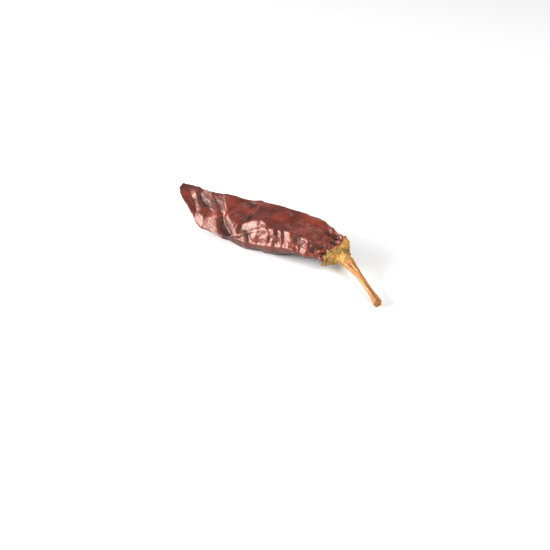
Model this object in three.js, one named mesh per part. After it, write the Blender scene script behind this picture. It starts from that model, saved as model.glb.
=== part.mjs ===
// A dried chilli pepper lying on its side, in millimetres, with +Z up.
// The pod runs along X: its tip points to -X, and its calyx and stem are at +X.
// The stem curves forwards, towards -Y, and down to just above the surface.
// The origin is on the flat spot that the pod rests on.
// The skin dried as one leathery piece, so the pod is one solid. The calyx clasps its
// shoulder, and the stem grows out of the calyx.
import * as THREE from 'three';

// Pod cross-sections. Each has a place along X, a lean in Y and in Z that turns the
// section towards the stem, and four ribs as [y, z]: far, near, toe and heel.
const STATIONS = [
  [-62.5, 0.25, -0.1, [7.0, 22.3], [3.4, 20.2], [3.6, 19.3], [7.2, 21.2]],
  [-58.0, 0.15, -0.1, [8.5, 21.3], [-1.2, 18.0], [0.2, 16.8], [8.6, 18.6]],
  [-50.0, 0.05, 0.0, [7.0, 21.2], [-5.6, 14.0], [-3.4, 11.6], [8.6, 15.4]],
  [-41.0, 0.0, 0.0, [5.5, 22.6], [-9.6, 7.4], [-6.4, 4.8], [10.0, 11.0]],
  [-31.0, 0.0, 0.0, [5.5, 23.0], [-12.0, 5.8], [-8.4, 2.6], [12.0, 7.6]],
  [-20.0, 0.0, 0.0, [6.0, 22.6], [-14.5, 5.4], [-10.5, 2.4], [13.0, 6.6]],
  [-8.0, 0.0, 0.0, [7.0, 21.4], [-14.2, 9.4], [-14.2, 5.8], [14.0, 5.8]],
  [4.0, 0.0, 0.0, [4.5, 25.8], [-12.4, 15.0], [-15.6, 6.2], [14.5, 5.4]],
  [16.0, 0.0, 0.0, [4.5, 26.2], [-11.6, 18.4], [-15.6, 8.0], [14.5, 5.4]],
  [28.0, 0.06, 0.0, [5.0, 24.0], [-11.0, 18.8], [-15.6, 9.8], [13.5, 5.2]],
  [38.0, 0.16, 0.0, [5.5, 21.4], [-11.0, 17.0], [-15.2, 9.4], [11.5, 4.8]],
  [46.5, 0.3, 0.02, [4.0, 19.4], [-12.0, 14.2], [-14.4, 9.0], [8.0, 4.0]],
  [52.5, 0.45, 0.06, [1.2, 17.0], [-12.4, 12.6], [-13.4, 8.4], [3.6, 4.0]],
  [57.0, 0.58, 0.1, [-1.6, 14.0], [-11.6, 11.2], [-12.0, 6.6], [-1.4, 5.2]],
  [59.5, 0.6, 0.12, [-3.4, 12.2], [-10.0, 10.4], [-10.2, 6.6], [-3.4, 6.4]],
];
// How far each rib's bend spreads along its two sides, as a share of the side.
const RIB_SPREAD = [0.1, 0.16, 0.16, 0.14];
const POD_RINGS = 80;
const POD_SIDES = 46;
const TIP_BULGE = 0.6;
const SHOULDER_BULGE = 0.8;

// The sole sags by REST_SAG between these places along X, most towards its front.
const REST_SAG = 8.0;
const REST_SKEW = 0.85;
const REST_TIP_END = [-46.0, -8.0];
const REST_STEM_END = [10.0, 50.0];

// Creases in the skin. Each has a height, the width of its slopes, and its points as
// [x, side]. side goes round the pod: 0 far rib, 1 near rib, 2 toe, 3 heel.
// A height below zero is a groove.
const CREASES = [
  [2.2, 1.8, [[-58, 0.2], [-50, 0.41], [-45, 0.52], [-41, 0.6], [-40, 0.93]]],
  [-3.0, 1.9, [[-54, 0.1], [-47, 0.33], [-41, 0.48], [-37, 0.46]]],
  [1.4, 2.0, [[-28.5, -0.05], [-24.5, 0.3], [-25.2, 0.5]]],
  [2.6, 2.2, [[-26, 0.4], [-21.6, 0.56], [-17, 0.7], [-10, 1.0]]],
  [-1.8, 1.7, [[-27, 0.58], [-23.5, 0.7], [-19, 0.9]]],
  [1.4, 2.2, [[-37, 0.62], [-32, 0.66], [-26, 0.5]]],
  [0.9, 1.6, [[-29, 0.72], [-28, 0.96]]],
  [1.7, 2.0, [[-14, 0.7], [-10, 0.63], [-3, 0.62], [7, 0.63], [12, 0.76], [17, 0.98]]],
  [1.3, 2.2, [[-1.8, 0.02], [-2.4, 0.28], [-1.8, 0.44], [0, 0.58]]],
  [0.9, 2.4, [[-24.5, 0.3], [-17, 0.28], [-8, 0.33], [-2, 0.44]]],
  [-1.0, 2.4, [[-19, 0.45], [-9, 0.5], [-1, 0.52]]],
  [1.0, 2.0, [[3, 0.62], [9, 0.52], [15, 0.4], [21, 0.22]]],
  [1.6, 1.5, [[-3, 1.05], [-2.4, 1.4], [-3, 1.75]]],
  [-1.9, 1.6, [[1, 1.02], [0.6, 1.5], [0, 1.8]]],
  [1.9, 1.5, [[3, 1.0], [4, 1.4], [3.6, 1.8]]],
  [-1.5, 1.4, [[6, 1.1], [6.4, 1.7]]],
  [1.7, 1.4, [[7.6, 1.0], [9, 1.4], [9, 1.8]]],
  [-1.5, 1.4, [[11.4, 1.1], [12.4, 1.7]]],
  [1.9, 1.5, [[13.4, 1.0], [15, 1.36], [17, 1.75]]],
  [-1.6, 1.5, [[18, 1.08], [20, 1.6]]],
  [1.7, 1.5, [[22.4, 0.95], [24.6, 1.25], [27, 1.55]]],
  [-1.8, 1.7, [[27, 1.0], [29, 1.4]]],
  [1.2, 2.2, [[31.5, 1.05], [35, 1.35], [36.5, 1.7]]],
  [1.7, 1.4, [[34, 0.9], [40, 1.04], [39.5, 1.35], [37.5, 1.7]]],
  [1.6, 1.4, [[40, 1.04], [45, 0.92], [48, 0.66]]],
  [-1.8, 1.6, [[43, 1.5], [47, 1.15], [53, 0.9]]],
  [1.3, 1.3, [[46, 1.5], [50, 1.2], [54, 1.0]]],
  [1.2, 1.4, [[30, 0.34], [33, 0.2], [39, 0.18], [44, 0.24]]],
  [-1.6, 1.6, [[40, 0.3], [47, 0.28], [54, 0.36]]],
  [1.3, 1.6, [[-44, 3.3], [-34, 3.45], [-22, 3.3], [-12, 3.5], [0, 3.42]]],
  [-1.6, 2.0, [[-38, 3.7], [-26, 3.62], [-16, 3.75]]],
  [1.5, 1.9, [[-12, 3.5], [-6, 3.75], [-2, 4.0]]],
  [-1.7, 2.2, [[-6, 3.3], [6, 3.6], [16, 3.4]]],
  [1.4, 1.9, [[4, 3.2], [14, 3.62], [24, 3.5], [34, 3.75]]],
  [-1.4, 1.8, [[22, 3.25], [32, 3.4], [42, 3.3]]],
  [1.2, 1.8, [[-34, 2.2], [-26, 2.6], [-30, 2.95]]],
];

// Broad hollows pressed into the skin: [x, side, depth, radius].
const HOLLOWS = [
  [-35, 0.36, 3.0, 7.5],
  [-14, 0.25, 1.3, 8.0],
  [12, 0.2, 0.9, 8.0],
  [26, 0.45, 0.8, 7.0],
  [-30, 3.5, 2.0, 9.0],
  [10, 3.5, 2.2, 11.0],
  [34, 3.5, 1.4, 8.0],
];

// How round a crest is, how far from its ends a crease reaches its full height, and what
// share of that height it keeps at its very end.
const CREST_ROUND = 0.9;
const CREASE_TAPER = 5.0;
const CREASE_END_SHARE = 0.25;

// The crumple that covers the skin: cells whose borders stand up as thin ridges, and whose
// middles sink by CELL_SINK of that height.
const CRUMPLE_CELL = 13.0;
const CRUMPLE_HEIGHT = 1.3;
const CRUMPLE_SLOPE = 2.4;
const SHOULDER_CELL = 7.5;
const SHOULDER_HEIGHT = 1.1;
const SHOULDER_SLOPE = 1.6;
const CELL_STRETCH = 1.35;
const CELL_SINK = 0.3;
const SHOULDER_FROM = [18.0, 34.0];
const SWIRL = 1.6;
const SWIRL_LENGTH = 15.0;

// Relief fades out over the last few millimetres of the tip, where the pod is thin.
const TIP_FADE = [-62.5, -54.0];

// The gathers that run out from under the calyx.
const GATHER_COUNT = 10;
const GATHER_HEIGHT = 0.6;
const GATHER_START = 40.0;
const GATHER_FULL = 51.0;
const GATHER_SWAY = 0.9;
const GATHER_SWAY_LENGTH = 4.0;
const GATHER_UNEVEN = 0.7;

// Calyx: a cap of five blunt lobes over the shoulder, with a short neck.
const CALYX_ROWS = 8;
const CALYX_RIM = 54.0;
const CALYX_GAP = 0.35;
const CALYX_WALL = 1.1;
const CALYX_LOBES = 5;
const CALYX_LOBE_REACH = 0.9;
const LOBE_TURN = 0.6;
const LOBE_BEND_START = 0.8;
const CALYX_LUMP = 0.35;
const CALYX_LUMP_WAVES = [3, 7];
const CALYX_LUMP_TURN = 2.3;
const NECK_HEIGHTS = [0.8, 2.4, 4.2, 6.2, 8.0];
const NECK_RADII = [5.0, 4.1, 3.6, 3.3, 3.2];
const NECK_FLUTE = 0.09;

// Stem: the points of its middle line, its radii along it, and its ribs.
const STEM_GAP = 0.3;
const STEM_PATH = [
  [67.6, -11.0, 8.0],
  [72.6, -13.8, 6.6],
  [79.8, -18.9, 5.2],
  [86.8, -24.8, 4.3],
  [93.1, -30.4, 3.6],
  [98.6, -35.7, 3.2],
];
const STEM_RADII = [3.2, 2.5, 2.1, 1.9, 1.8, 1.8, 1.85, 1.95, 2.3, 2.45];
const STEM_RINGS = 36;
const STEM_SIDES = 15;
const STEM_RIBS = 5;
const STEM_RIB_HEIGHT = 0.08;
const STEM_TWIST = 0.9;

const smoothstep = (low, high, x) => {
  const t = THREE.MathUtils.clamp((x - low) / (high - low), 0, 1);
  return t * t * (3 - 2 * t);
};

const hash = (i, j, k, salt) => {
  const wave = Math.sin(i * 127.1 + j * 311.7 + k * 74.7 + salt * 53.3) * 43758.5453;
  return wave - Math.floor(wave);
};

// Sixteen control points round one section: each rib with a point on either side of it,
// and the middle of each side. A rib's own point is moved out so that the curve meets it.
function sectionControls([x, leanY, leanZ, ...ribs]) {
  const middleY = ribs.reduce((sum, rib) => sum + rib[0], 0) / ribs.length;
  const middleZ = ribs.reduce((sum, rib) => sum + rib[1], 0) / ribs.length;
  const place = ([y, z]) => {
    const turn = leanY * (y - middleY) + leanZ * (z - middleZ);
    return new THREE.Vector3(x + turn, y, z);
  };
  const mix = (a, b, t) => [a[0] + (b[0] - a[0]) * t, a[1] + (b[1] - a[1]) * t];
  return ribs.flatMap((rib, k) => {
    const before = mix(rib, ribs[(k + 3) % 4], RIB_SPREAD[k]);
    const after = mix(rib, ribs[(k + 1) % 4], RIB_SPREAD[k]);
    const between = mix(before, after, 0.5);
    const apex = mix(between, rib, 1.5);
    const side = mix(rib, ribs[(k + 1) % 4], 0.5);
    return [before, apex, after, side].map(place);
  });
}

const CONTROLS = STATIONS.map(sectionControls);
const LAST = STATIONS.length - 1;

// A smooth curve through the sections, at u from 0 to LAST.
function sectionAt(u) {
  const i = Math.min(Math.max(Math.floor(u), 0), LAST - 1);
  const t = u - i;
  return CONTROLS[i].map((point, k) => {
    const next = CONTROLS[i + 1][k];
    const before = i > 0 ? CONTROLS[i - 1][k] : point.clone().multiplyScalar(2).sub(next);
    const after = i + 2 <= LAST ? CONTROLS[i + 2][k] : next.clone().multiplyScalar(2).sub(point);
    const curve = new THREE.Vector3();
    curve.addScaledVector(before, 0.5 * (-t + 2 * t * t - t ** 3));
    curve.addScaledVector(point, 0.5 * (2 - 5 * t * t + 3 * t ** 3));
    curve.addScaledVector(next, 0.5 * (t + 4 * t * t - 3 * t ** 3));
    curve.addScaledVector(after, 0.5 * (-t * t + t ** 3));
    return curve;
  });
}

// A cubic B-spline round one section, at side from 0 to 4.
function roundSection(ring, side) {
  const v = side * 4 + 1;
  const i = Math.floor(v);
  const t = v - i;
  const pick = (k) => ring[(i + k + 16) % 16];
  const point = new THREE.Vector3();
  point.addScaledVector(pick(-1), (1 - t) ** 3 / 6);
  point.addScaledVector(pick(0), (3 * t ** 3 - 6 * t * t + 4) / 6);
  point.addScaledVector(pick(1), (-3 * t ** 3 + 3 * t * t + 3 * t + 1) / 6);
  point.addScaledVector(pick(2), t ** 3 / 6);
  return point;
}

// The plain pod, before its creases. The sole sags a little below the surface that the
// pod rests on, and is cut flat there later.
function plainPod(u, side) {
  const point = roundSection(sectionAt(u), ((side % 4) + 4) % 4);
  const along = smoothstep(...REST_TIP_END, point.x) * (1 - smoothstep(...REST_STEM_END, point.x));
  const sole = THREE.MathUtils.clamp(((side % 4) + 4) % 4 - 2, 0, 1);
  point.z -= REST_SAG * along * Math.sin(Math.PI * sole ** REST_SKEW);
  return point;
}

// The place along X of a section between stations, and the section for such a place.
const placeOf = (u) => {
  const i = Math.min(Math.floor(u), LAST - 1);
  return THREE.MathUtils.lerp(STATIONS[i][0], STATIONS[i + 1][0], u - i);
};
const sectionOf = (x) => {
  const i = Math.min(Math.max(STATIONS.findIndex((station) => station[0] > x) - 1, 0), LAST - 1);
  return i + (x - STATIONS[i][0]) / (STATIONS[i + 1][0] - STATIONS[i][0]);
};

// Length round the pod from its far rib, in millimetres.
const GIRTH_STEPS = 64;
function girth(u, side) {
  const turns = Math.floor(side / 4);
  const full = girthTable(u);
  const step = (side - turns * 4) / 4 * GIRTH_STEPS;
  const i = Math.min(Math.floor(step), GIRTH_STEPS - 1);
  return turns * full[GIRTH_STEPS] + THREE.MathUtils.lerp(full[i], full[i + 1], step - i);
}
const girthTables = new Map();
function girthTable(u) {
  if (!girthTables.has(u)) {
    const table = [0];
    const ring = sectionAt(u);
    let last = roundSection(ring, 0);
    for (let i = 1; i <= GIRTH_STEPS; i += 1) {
      const point = roundSection(ring, i / GIRTH_STEPS * 4 % 4);
      table.push(table[i - 1] + point.distanceTo(last));
      last = point;
    }
    girthTables.set(u, table);
  }
  return girthTables.get(u);
}

// Each crease laid out flat: x against length round the pod.
const creaseLines = CREASES.map(([height, slope, points]) => {
  const flat = points.map(([x, side]) => new THREE.Vector2(x, girth(sectionOf(x), side)));
  const starts = [0];
  for (let i = 1; i < flat.length; i += 1) {
    starts.push(starts[i - 1] + flat[i].distanceTo(flat[i - 1]));
  }
  return { height, slope, flat, starts };
});

// Height of one crease: it falls off with the distance from its line, and towards its ends.
function creaseHeight(place, { height, slope, flat, starts }) {
  const length = starts[starts.length - 1];
  let nearest = Infinity;
  let travelled = 0;
  for (let i = 0; i + 1 < flat.length; i += 1) {
    const step = flat[i + 1].clone().sub(flat[i]);
    const away = place.clone().sub(flat[i]);
    const t = THREE.MathUtils.clamp(away.dot(step) / step.lengthSq(), 0, 1);
    const distance = away.addScaledVector(step, -t).length();
    if (distance < nearest) {
      nearest = distance;
      travelled = starts[i] + t * step.length();
    }
  }
  const inwards = smoothstep(0, CREASE_TAPER, Math.min(travelled, length - travelled));
  const taper = THREE.MathUtils.lerp(CREASE_END_SHARE, 1, inwards);
  return height * taper * Math.exp((CREST_ROUND - Math.hypot(nearest, CREST_ROUND)) / slope);
}

// Height of the creases and hollows at one place of the skin.
function foldHeight(x, g, full) {
  let height = 0;
  for (const line of creaseLines) {
    const turns = [-full, 0, full].map((turn) => creaseHeight(new THREE.Vector2(x, g + turn), line));
    height += Math.sign(line.height) * Math.max(...turns.map(Math.abs));
  }
  for (const [hollowX, side, depth, radius] of HOLLOWS) {
    const away = Math.hypot(x - hollowX, g - girth(sectionOf(hollowX), side));
    height -= depth * Math.exp(-((away / radius) ** 2));
  }
  return height;
}

// Ridges along the borders of scattered cells: the nearer the two closest seeds are to
// being equally far, the closer the place is to a border.
function cellRidge(point, cell, slope, salt) {
  const bend = (a, b) => SWIRL * Math.sin(a / SWIRL_LENGTH * 2 * Math.PI + b + salt);
  const x = (point.x + bend(point.y, 0.4) + bend(point.z, 1.7)) / (cell * CELL_STRETCH);
  const y = (point.y + bend(point.x, 2.1) + bend(point.z, 0.3)) / cell;
  const z = (point.z + bend(point.x, 4.2) + bend(point.y, 2.6)) / cell;
  let first = Infinity;
  let second = Infinity;
  for (let i = -1; i <= 1; i += 1) {
    for (let j = -1; j <= 1; j += 1) {
      for (let k = -1; k <= 1; k += 1) {
        const [ci, cj, ck] = [Math.floor(x) + i, Math.floor(y) + j, Math.floor(z) + k];
        const away = Math.hypot(
          ci + hash(ci, cj, ck, salt) - x,
          cj + hash(ci, cj, ck, salt + 1) - y,
          ck + hash(ci, cj, ck, salt + 2) - z,
        );
        second = Math.min(second, Math.max(first, away));
        first = Math.min(first, away);
      }
    }
  }
  const away = Math.hypot((second - first) * cell, CREST_ROUND);
  return Math.exp((CREST_ROUND - away) / slope) - CELL_SINK;
}

// All the relief of the skin at one place, in millimetres along its normal.
function relief(point, x, g, full) {
  const shoulder = smoothstep(...SHOULDER_FROM, x);
  const gathers = smoothstep(GATHER_START, GATHER_FULL, x);
  const angle = g / full * 2 * Math.PI;
  const sway = GATHER_SWAY * Math.sin(x / GATHER_SWAY_LENGTH) + GATHER_UNEVEN * Math.sin(2 * angle);
  const wave = GATHER_COUNT / 2 * angle + sway;
  let height = foldHeight(x, g, full);
  height += CRUMPLE_HEIGHT * (1 - 0.5 * shoulder) * cellRidge(point, CRUMPLE_CELL, CRUMPLE_SLOPE, 3);
  height += SHOULDER_HEIGHT * shoulder * cellRidge(point, SHOULDER_CELL, SHOULDER_SLOPE, 8);
  height += GATHER_HEIGHT * gathers * (1 - 2 * Math.abs(Math.sin(wave)));
  return height * smoothstep(...TIP_FADE, x);
}

// Rows of the skin: evenly along X, and near the shoulder bent to the calyx's lobes, so
// that the calyx can use the same rows.
const CALYX_START = POD_RINGS - CALYX_ROWS;
function rowSection(row, side) {
  const t = row / CALYX_START;
  if (row <= CALYX_START) {
    const x = THREE.MathUtils.lerp(STATIONS[0][0], CALYX_RIM, t);
    const lobe = Math.cos(CALYX_LOBES * side / 4 * 2 * Math.PI + LOBE_TURN);
    return sectionOf(x - CALYX_LOBE_REACH * lobe * smoothstep(LOBE_BEND_START, 1, t));
  }
  const start = rowSection(CALYX_START, side);
  return THREE.MathUtils.lerp(start, LAST, (row - CALYX_START) / (CALYX_ROWS - 1));
}

const SLOPE_STEP = 0.04;
function skinPoint(row, side) {
  const u = rowSection(row, side);
  const point = plainPod(u, side);
  const ahead = plainPod(Math.min(u + SLOPE_STEP, LAST), side);
  const along = ahead.sub(plainPod(Math.max(u - SLOPE_STEP, 0), side));
  const across = plainPod(u, side + SLOPE_STEP).sub(plainPod(u, side - SLOPE_STEP));
  const normal = across.cross(along).normalize();
  const table = girthTable(u);
  const height = relief(point, placeOf(u), girth(u, side), table[GIRTH_STEPS]);
  const bare = 1 - smoothstep(CALYX_START - 1, CALYX_START + 2, row);
  point.addScaledVector(normal, height * bare);
  return { point, normal };
}

const SKIN = [];
for (let row = 0; row < POD_RINGS; row += 1) {
  const ring = [];
  for (let k = 0; k < POD_SIDES; k += 1) {
    ring.push(skinPoint(row, k / POD_SIDES * 4));
  }
  SKIN.push(ring);
}

const ringMiddle = (ring) => {
  const middle = new THREE.Vector3();
  ring.forEach((point) => middle.add(point));
  return middle.divideScalar(ring.length);
};

// One closed surface from rings with equal numbers of points and a pole at either end.
function closedSurface(startPole, rings, endPole) {
  const sides = rings[0].length;
  const corners = [startPole, ...rings.flat(), endPole];
  const faces = [];
  for (let k = 0; k < sides; k += 1) {
    const next = (k + 1) % sides;
    faces.push(0, 1 + next, 1 + k);
    for (let row = 0; row + 1 < rings.length; row += 1) {
      const a = 1 + row * sides + k;
      const b = 1 + row * sides + next;
      faces.push(a, b, a + sides);
      faces.push(b, b + sides, a + sides);
    }
    const lastRow = 1 + (rings.length - 1) * sides;
    faces.push(lastRow + k, lastRow + next, corners.length - 1);
  }
  const geometry = new THREE.BufferGeometry();
  const positions = new Float32Array(corners.flatMap((corner) => corner.toArray()));
  geometry.setAttribute('position', new THREE.BufferAttribute(positions, 3));
  geometry.setIndex(faces);
  geometry.computeVertexNormals();
  return geometry;
}

function podGeometry() {
  const rings = SKIN.map((ring) => ring.map(({ point }) => {
    return new THREE.Vector3(point.x, point.y, Math.max(point.z, 0));
  }));
  const tip = ringMiddle(rings[0]).add(new THREE.Vector3(-TIP_BULGE, 0, 0));
  const shoulder = ringMiddle(rings[POD_RINGS - 1]).addScaledVector(shoulderAxis(), SHOULDER_BULGE);
  return closedSurface(tip, rings, shoulder);
}

// The way that the calyx and the root of the stem point.
function shoulderAxis() {
  const [, leanY, leanZ] = STATIONS[LAST];
  return new THREE.Vector3(1, -leanY, -leanZ).normalize();
}

// The neck bends from the shoulder's axis to the start of the stem.
function neckLine() {
  const start = ringMiddle(SKIN[POD_RINGS - 1].map(({ point }) => point));
  const end = new THREE.Vector3(...STEM_PATH[0]);
  const reach = start.distanceTo(end);
  const middle = end.clone().addScaledVector(stemLine().getTangentAt(0), -reach * 0.5);
  return new THREE.QuadraticBezierCurve3(start, middle, end);
}

function calyxGeometry() {
  const sides = SKIN[0].length;
  const offset = (row, reach) => SKIN[row].map(({ point, normal }, k) => {
    const angle = k / sides * 2 * Math.PI;
    const broad = Math.sin(CALYX_LUMP_WAVES[0] * angle + row);
    const narrow = Math.sin(CALYX_LUMP_WAVES[1] * angle + CALYX_LUMP_TURN * row);
    const lump = CALYX_LUMP * broad * narrow;
    const out = reach > CALYX_GAP ? reach + lump : reach;
    return point.clone().addScaledVector(normal, out);
  });
  const rings = [];
  for (let row = POD_RINGS - 1; row >= CALYX_START; row -= 1) {
    rings.push(offset(row, CALYX_GAP));
  }
  for (let row = CALYX_START; row < POD_RINGS - 1; row += 1) {
    rings.push(offset(row, CALYX_GAP + CALYX_WALL));
  }
  rings.push(...neckRings(rings[rings.length - 1]));
  const innerPole = ringMiddle(rings[0]).addScaledVector(shoulderAxis(), SHOULDER_BULGE);
  const outerPole = ringMiddle(rings[rings.length - 1]);
  return closedSurface(innerPole, rings, outerPole);
}

// Rings of the neck, each point kept at the bearing that it has on the calyx below it.
function neckRings(below) {
  const line = neckLine();
  const reach = line.getLength();
  const axis = shoulderAxis();
  const up = new THREE.Vector3(0, 0, 1).addScaledVector(axis, -axis.z).normalize();
  const side = axis.clone().cross(up);
  const middle = ringMiddle(below);
  const bearings = below.map((point) => {
    const arm = point.clone().sub(middle);
    return Math.atan2(arm.dot(side), arm.dot(up));
  });
  return NECK_HEIGHTS.map((height, i) => {
    const t = Math.min(height / NECK_HEIGHTS[NECK_HEIGHTS.length - 1], 1) * (1 - STEM_GAP / reach);
    const centre = line.getPoint(t);
    const forward = line.getTangent(t);
    const ringUp = up.clone().addScaledVector(forward, -up.dot(forward)).normalize();
    const ringSide = forward.clone().cross(ringUp);
    return bearings.map((bearing) => {
      const flute = 1 + NECK_FLUTE * Math.cos(STEM_RIBS * bearing) * i / NECK_RADII.length;
      const radius = NECK_RADII[i] * flute;
      const point = centre.clone();
      point.addScaledVector(ringUp, radius * Math.cos(bearing));
      return point.addScaledVector(ringSide, radius * Math.sin(bearing));
    });
  });
}

// The stem's middle line, from its root at the local origin.
function stemLine() {
  const root = new THREE.Vector3(...STEM_PATH[0]);
  return new THREE.CatmullRomCurve3(STEM_PATH.map((point) => new THREE.Vector3(...point).sub(root)));
}

// A ribbed tube along the stem's line, wide at its root and at its cut end.
function stemGeometry() {
  const line = stemLine();
  const rings = [];
  for (let row = 0; row < STEM_RINGS; row += 1) {
    const t = row / (STEM_RINGS - 1);
    const centre = line.getPointAt(t);
    const forward = line.getTangentAt(t);
    const up = new THREE.Vector3(0, 0, 1).addScaledVector(forward, -forward.z).normalize();
    const side = forward.clone().cross(up);
    const place = t * (STEM_RADII.length - 1);
    const i = Math.min(Math.floor(place), STEM_RADII.length - 2);
    const plain = THREE.MathUtils.lerp(STEM_RADII[i], STEM_RADII[i + 1], smoothstep(0, 1, place - i));
    const ring = [];
    for (let k = 0; k < STEM_SIDES; k += 1) {
      const angle = k / STEM_SIDES * 2 * Math.PI;
      const radius = plain * (1 + STEM_RIB_HEIGHT * Math.cos(STEM_RIBS * (angle + STEM_TWIST * t)));
      const point = centre.clone();
      point.addScaledVector(up, radius * Math.cos(angle));
      ring.push(point.addScaledVector(side, radius * Math.sin(angle)));
    }
    rings.push(ring);
  }
  return closedSurface(ringMiddle(rings[0]), rings, ringMiddle(rings[STEM_RINGS - 1]));
}

function named(name, geometry, material) {
  const mesh = new THREE.Mesh(geometry, material);
  mesh.name = name;
  return mesh;
}

const skinMaterial = new THREE.MeshStandardMaterial({ color: '#6e2a22', roughness: 0.35, metalness: 0 });
const calyxMaterial = new THREE.MeshStandardMaterial({ color: '#b8935a', roughness: 0.85, metalness: 0 });
const stemMaterial = new THREE.MeshStandardMaterial({ color: '#d9a25c', roughness: 0.6, metalness: 0 });

const chilli = new THREE.Group();
chilli.add(named('pod', podGeometry(), skinMaterial));
chilli.add(named('calyx', calyxGeometry(), calyxMaterial));
const stem = named('stem', stemGeometry(), stemMaterial);
stem.position.set(...STEM_PATH[0]);
chilli.add(stem);

export default chilli;
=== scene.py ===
"""A dried chilli pepper on a pale table: its skin, calyx and stem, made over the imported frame.

Shapes are worked out in millimetres and put into the meshes in metres. The pod runs along
X, with its tip at -X and its calyx and stem at +X, and it rests on the plane z = 0.
Places on the skin are given as x along the pod and side round it: 0 is the far rib, 1 the
near rib, 2 the toe, 3 the heel, and 4 the far rib again.
"""

import logging
import math
from dataclasses import dataclass, field
from enum import Enum
from typing import Any, Callable

import bpy
import numpy as np
from mathutils import Matrix, Vector
from numpy.typing import NDArray


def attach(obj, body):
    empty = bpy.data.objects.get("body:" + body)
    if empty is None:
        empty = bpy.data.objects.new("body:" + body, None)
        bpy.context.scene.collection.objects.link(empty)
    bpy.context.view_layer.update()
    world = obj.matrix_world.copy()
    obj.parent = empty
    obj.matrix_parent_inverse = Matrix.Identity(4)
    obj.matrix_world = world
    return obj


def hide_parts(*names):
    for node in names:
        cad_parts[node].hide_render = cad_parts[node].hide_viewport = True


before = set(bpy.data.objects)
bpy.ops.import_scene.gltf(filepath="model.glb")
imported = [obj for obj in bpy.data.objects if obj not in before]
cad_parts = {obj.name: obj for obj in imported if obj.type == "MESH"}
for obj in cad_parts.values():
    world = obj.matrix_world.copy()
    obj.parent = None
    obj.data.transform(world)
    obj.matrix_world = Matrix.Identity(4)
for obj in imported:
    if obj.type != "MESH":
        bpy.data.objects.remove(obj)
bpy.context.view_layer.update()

LOG = logging.getLogger("dried_chilli")
MM = 0.001
TURN = 2.0 * math.pi
# Width in mm of a fold's flank for each unit of its slope
FLANK_SHARE = 2.4
# Large unrelated numbers that scatter the draws of neighbouring lattice cells
HASH_WAVES = (127.1, 311.7, 74.7, 53.3)
HASH_SIZE = 43758.5453

Array = NDArray[np.float64]
Pair = tuple[float, float]
Point = tuple[float, float, float]


class Slot(Enum):
    """The record's material slots."""

    SKIN = "skin"
    CALYX = "calyx"
    STEM = "stem"


class Relief(Enum):
    """What a skin attribute tells the material about a place."""

    # Crest places are lightened with a painted highlight.
    CREST = "crest"
    # Fold places are darkened with painted shade.
    FOLD = "fold"
    SHOULDER = "shoulder"
    # Sole places, on the underside, are darkened with painted shade.
    SOLE = "sole"
    # Shade spot places are darkened with painted shade and made duller.
    STAIN = "stain"


def clamp(value: Array, low: float = 0.0, high: float = 1.0) -> Array:
    """Keeps value between low and high."""
    return np.clip(value, low, high)


def smooth(low: float, high: float, value: Array) -> Array:
    """Rises from 0 at low to 1 at high as 3t^2 - 2t^3."""
    t = clamp((np.asarray(value, float) - low) / (high - low))
    return t * t * (3.0 - 2.0 * t)


def mix(a: Array, b: Array, t: Array) -> Array:
    """Goes in a straight line from a at t = 0 to b at t = 1."""
    return a + (b - a) * t


def window(value: Array, start: float, end: float, edge: float) -> Array:
    """Is 1 between start and end, and fades to 0 over edge inside each of them."""
    return smooth(start, start + edge, value) * (1.0 - smooth(end - edge, end, value))


def unit(vectors: Array) -> Array:
    """Divides each vector by its length."""
    return vectors / np.maximum(np.linalg.norm(vectors, axis=-1, keepdims=True), 1e-9)


def flank(distance: Array, width: Array, crest: float, foot: float = 0.16) -> Array:
    """A fold's cross-section: 1 at the crest and falling in a straight line to 0 at width,
    with the crest rounded by hypot(distance, crest) and the foot by hypot(level, foot)."""
    level = 1.0 - (np.hypot(distance, crest) - crest) / width
    return 0.5 * (level + np.hypot(level, foot)) - 0.5 * foot * foot


def hashed(i: Array, j: Array, k: Array, salt: float) -> Array:
    """A number from 0 to 1 for a lattice cell: the fraction of a large sine."""
    a, b, c, d = HASH_WAVES
    wave = np.sin(i * a + j * b + k * c + salt * d) * HASH_SIZE
    return wave - np.floor(wave)


def soft_noise(points: Array, cell: float, salt: float) -> Array:
    """Lattice numbers blended smoothly between their cells, from -1 to 1."""
    scaled = points / cell
    base = np.floor(scaled)
    part = scaled - base
    part = part * part * (3.0 - 2.0 * part)
    total = np.zeros(points.shape[:-1])
    for corner in np.ndindex(2, 2, 2):
        share = np.ones_like(total)
        for axis in range(3):
            share = share * (part[..., axis] if corner[axis] else 1.0 - part[..., axis])
        lattice = [base[..., axis] + corner[axis] for axis in range(3)]
        total += share * hashed(*lattice, salt)
    return 2.0 * total - 1.0


def blur(height: Array, rows: int, sides: int) -> Array:
    """Averages a grid over a few rows and sides. It wraps round the sides only."""
    padded = np.concatenate([height[:1]] * rows + [height] + [height[-1:]] * rows)
    total = np.cumsum(np.concatenate([np.zeros_like(padded[:1]), padded]), axis=0)
    along = (total[2 * rows + 1:] - total[:-2 * rows - 1]) / (2 * rows + 1)
    wrapped = np.concatenate([along[:, -sides:], along, along[:, :sides]], axis=1)
    total = np.cumsum(np.concatenate([np.zeros_like(wrapped[:, :1]), wrapped], axis=1), axis=1)
    return (total[:, 2 * sides + 1:] - total[:, :-2 * sides - 1]) / (2 * sides + 1)


def curve_weights(t: Array) -> Array:
    """The four weights of a uniform Catmull-Rom curve at t."""
    return 0.5 * np.stack([
        -t + 2.0 * t**2 - t**3,
        2.0 - 5.0 * t**2 + 3.0 * t**3,
        t + 4.0 * t**2 - 3.0 * t**3,
        -t**2 + t**3,
    ])


def round_weights(t: Array) -> Array:
    """The four weights of a uniform cubic B-spline at t."""
    return np.stack([
        (1.0 - t)**3,
        3.0 * t**3 - 6.0 * t**2 + 4.0,
        -3.0 * t**3 + 3.0 * t**2 + 3.0 * t + 1.0,
        t**3,
    ]) / 6.0


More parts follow.
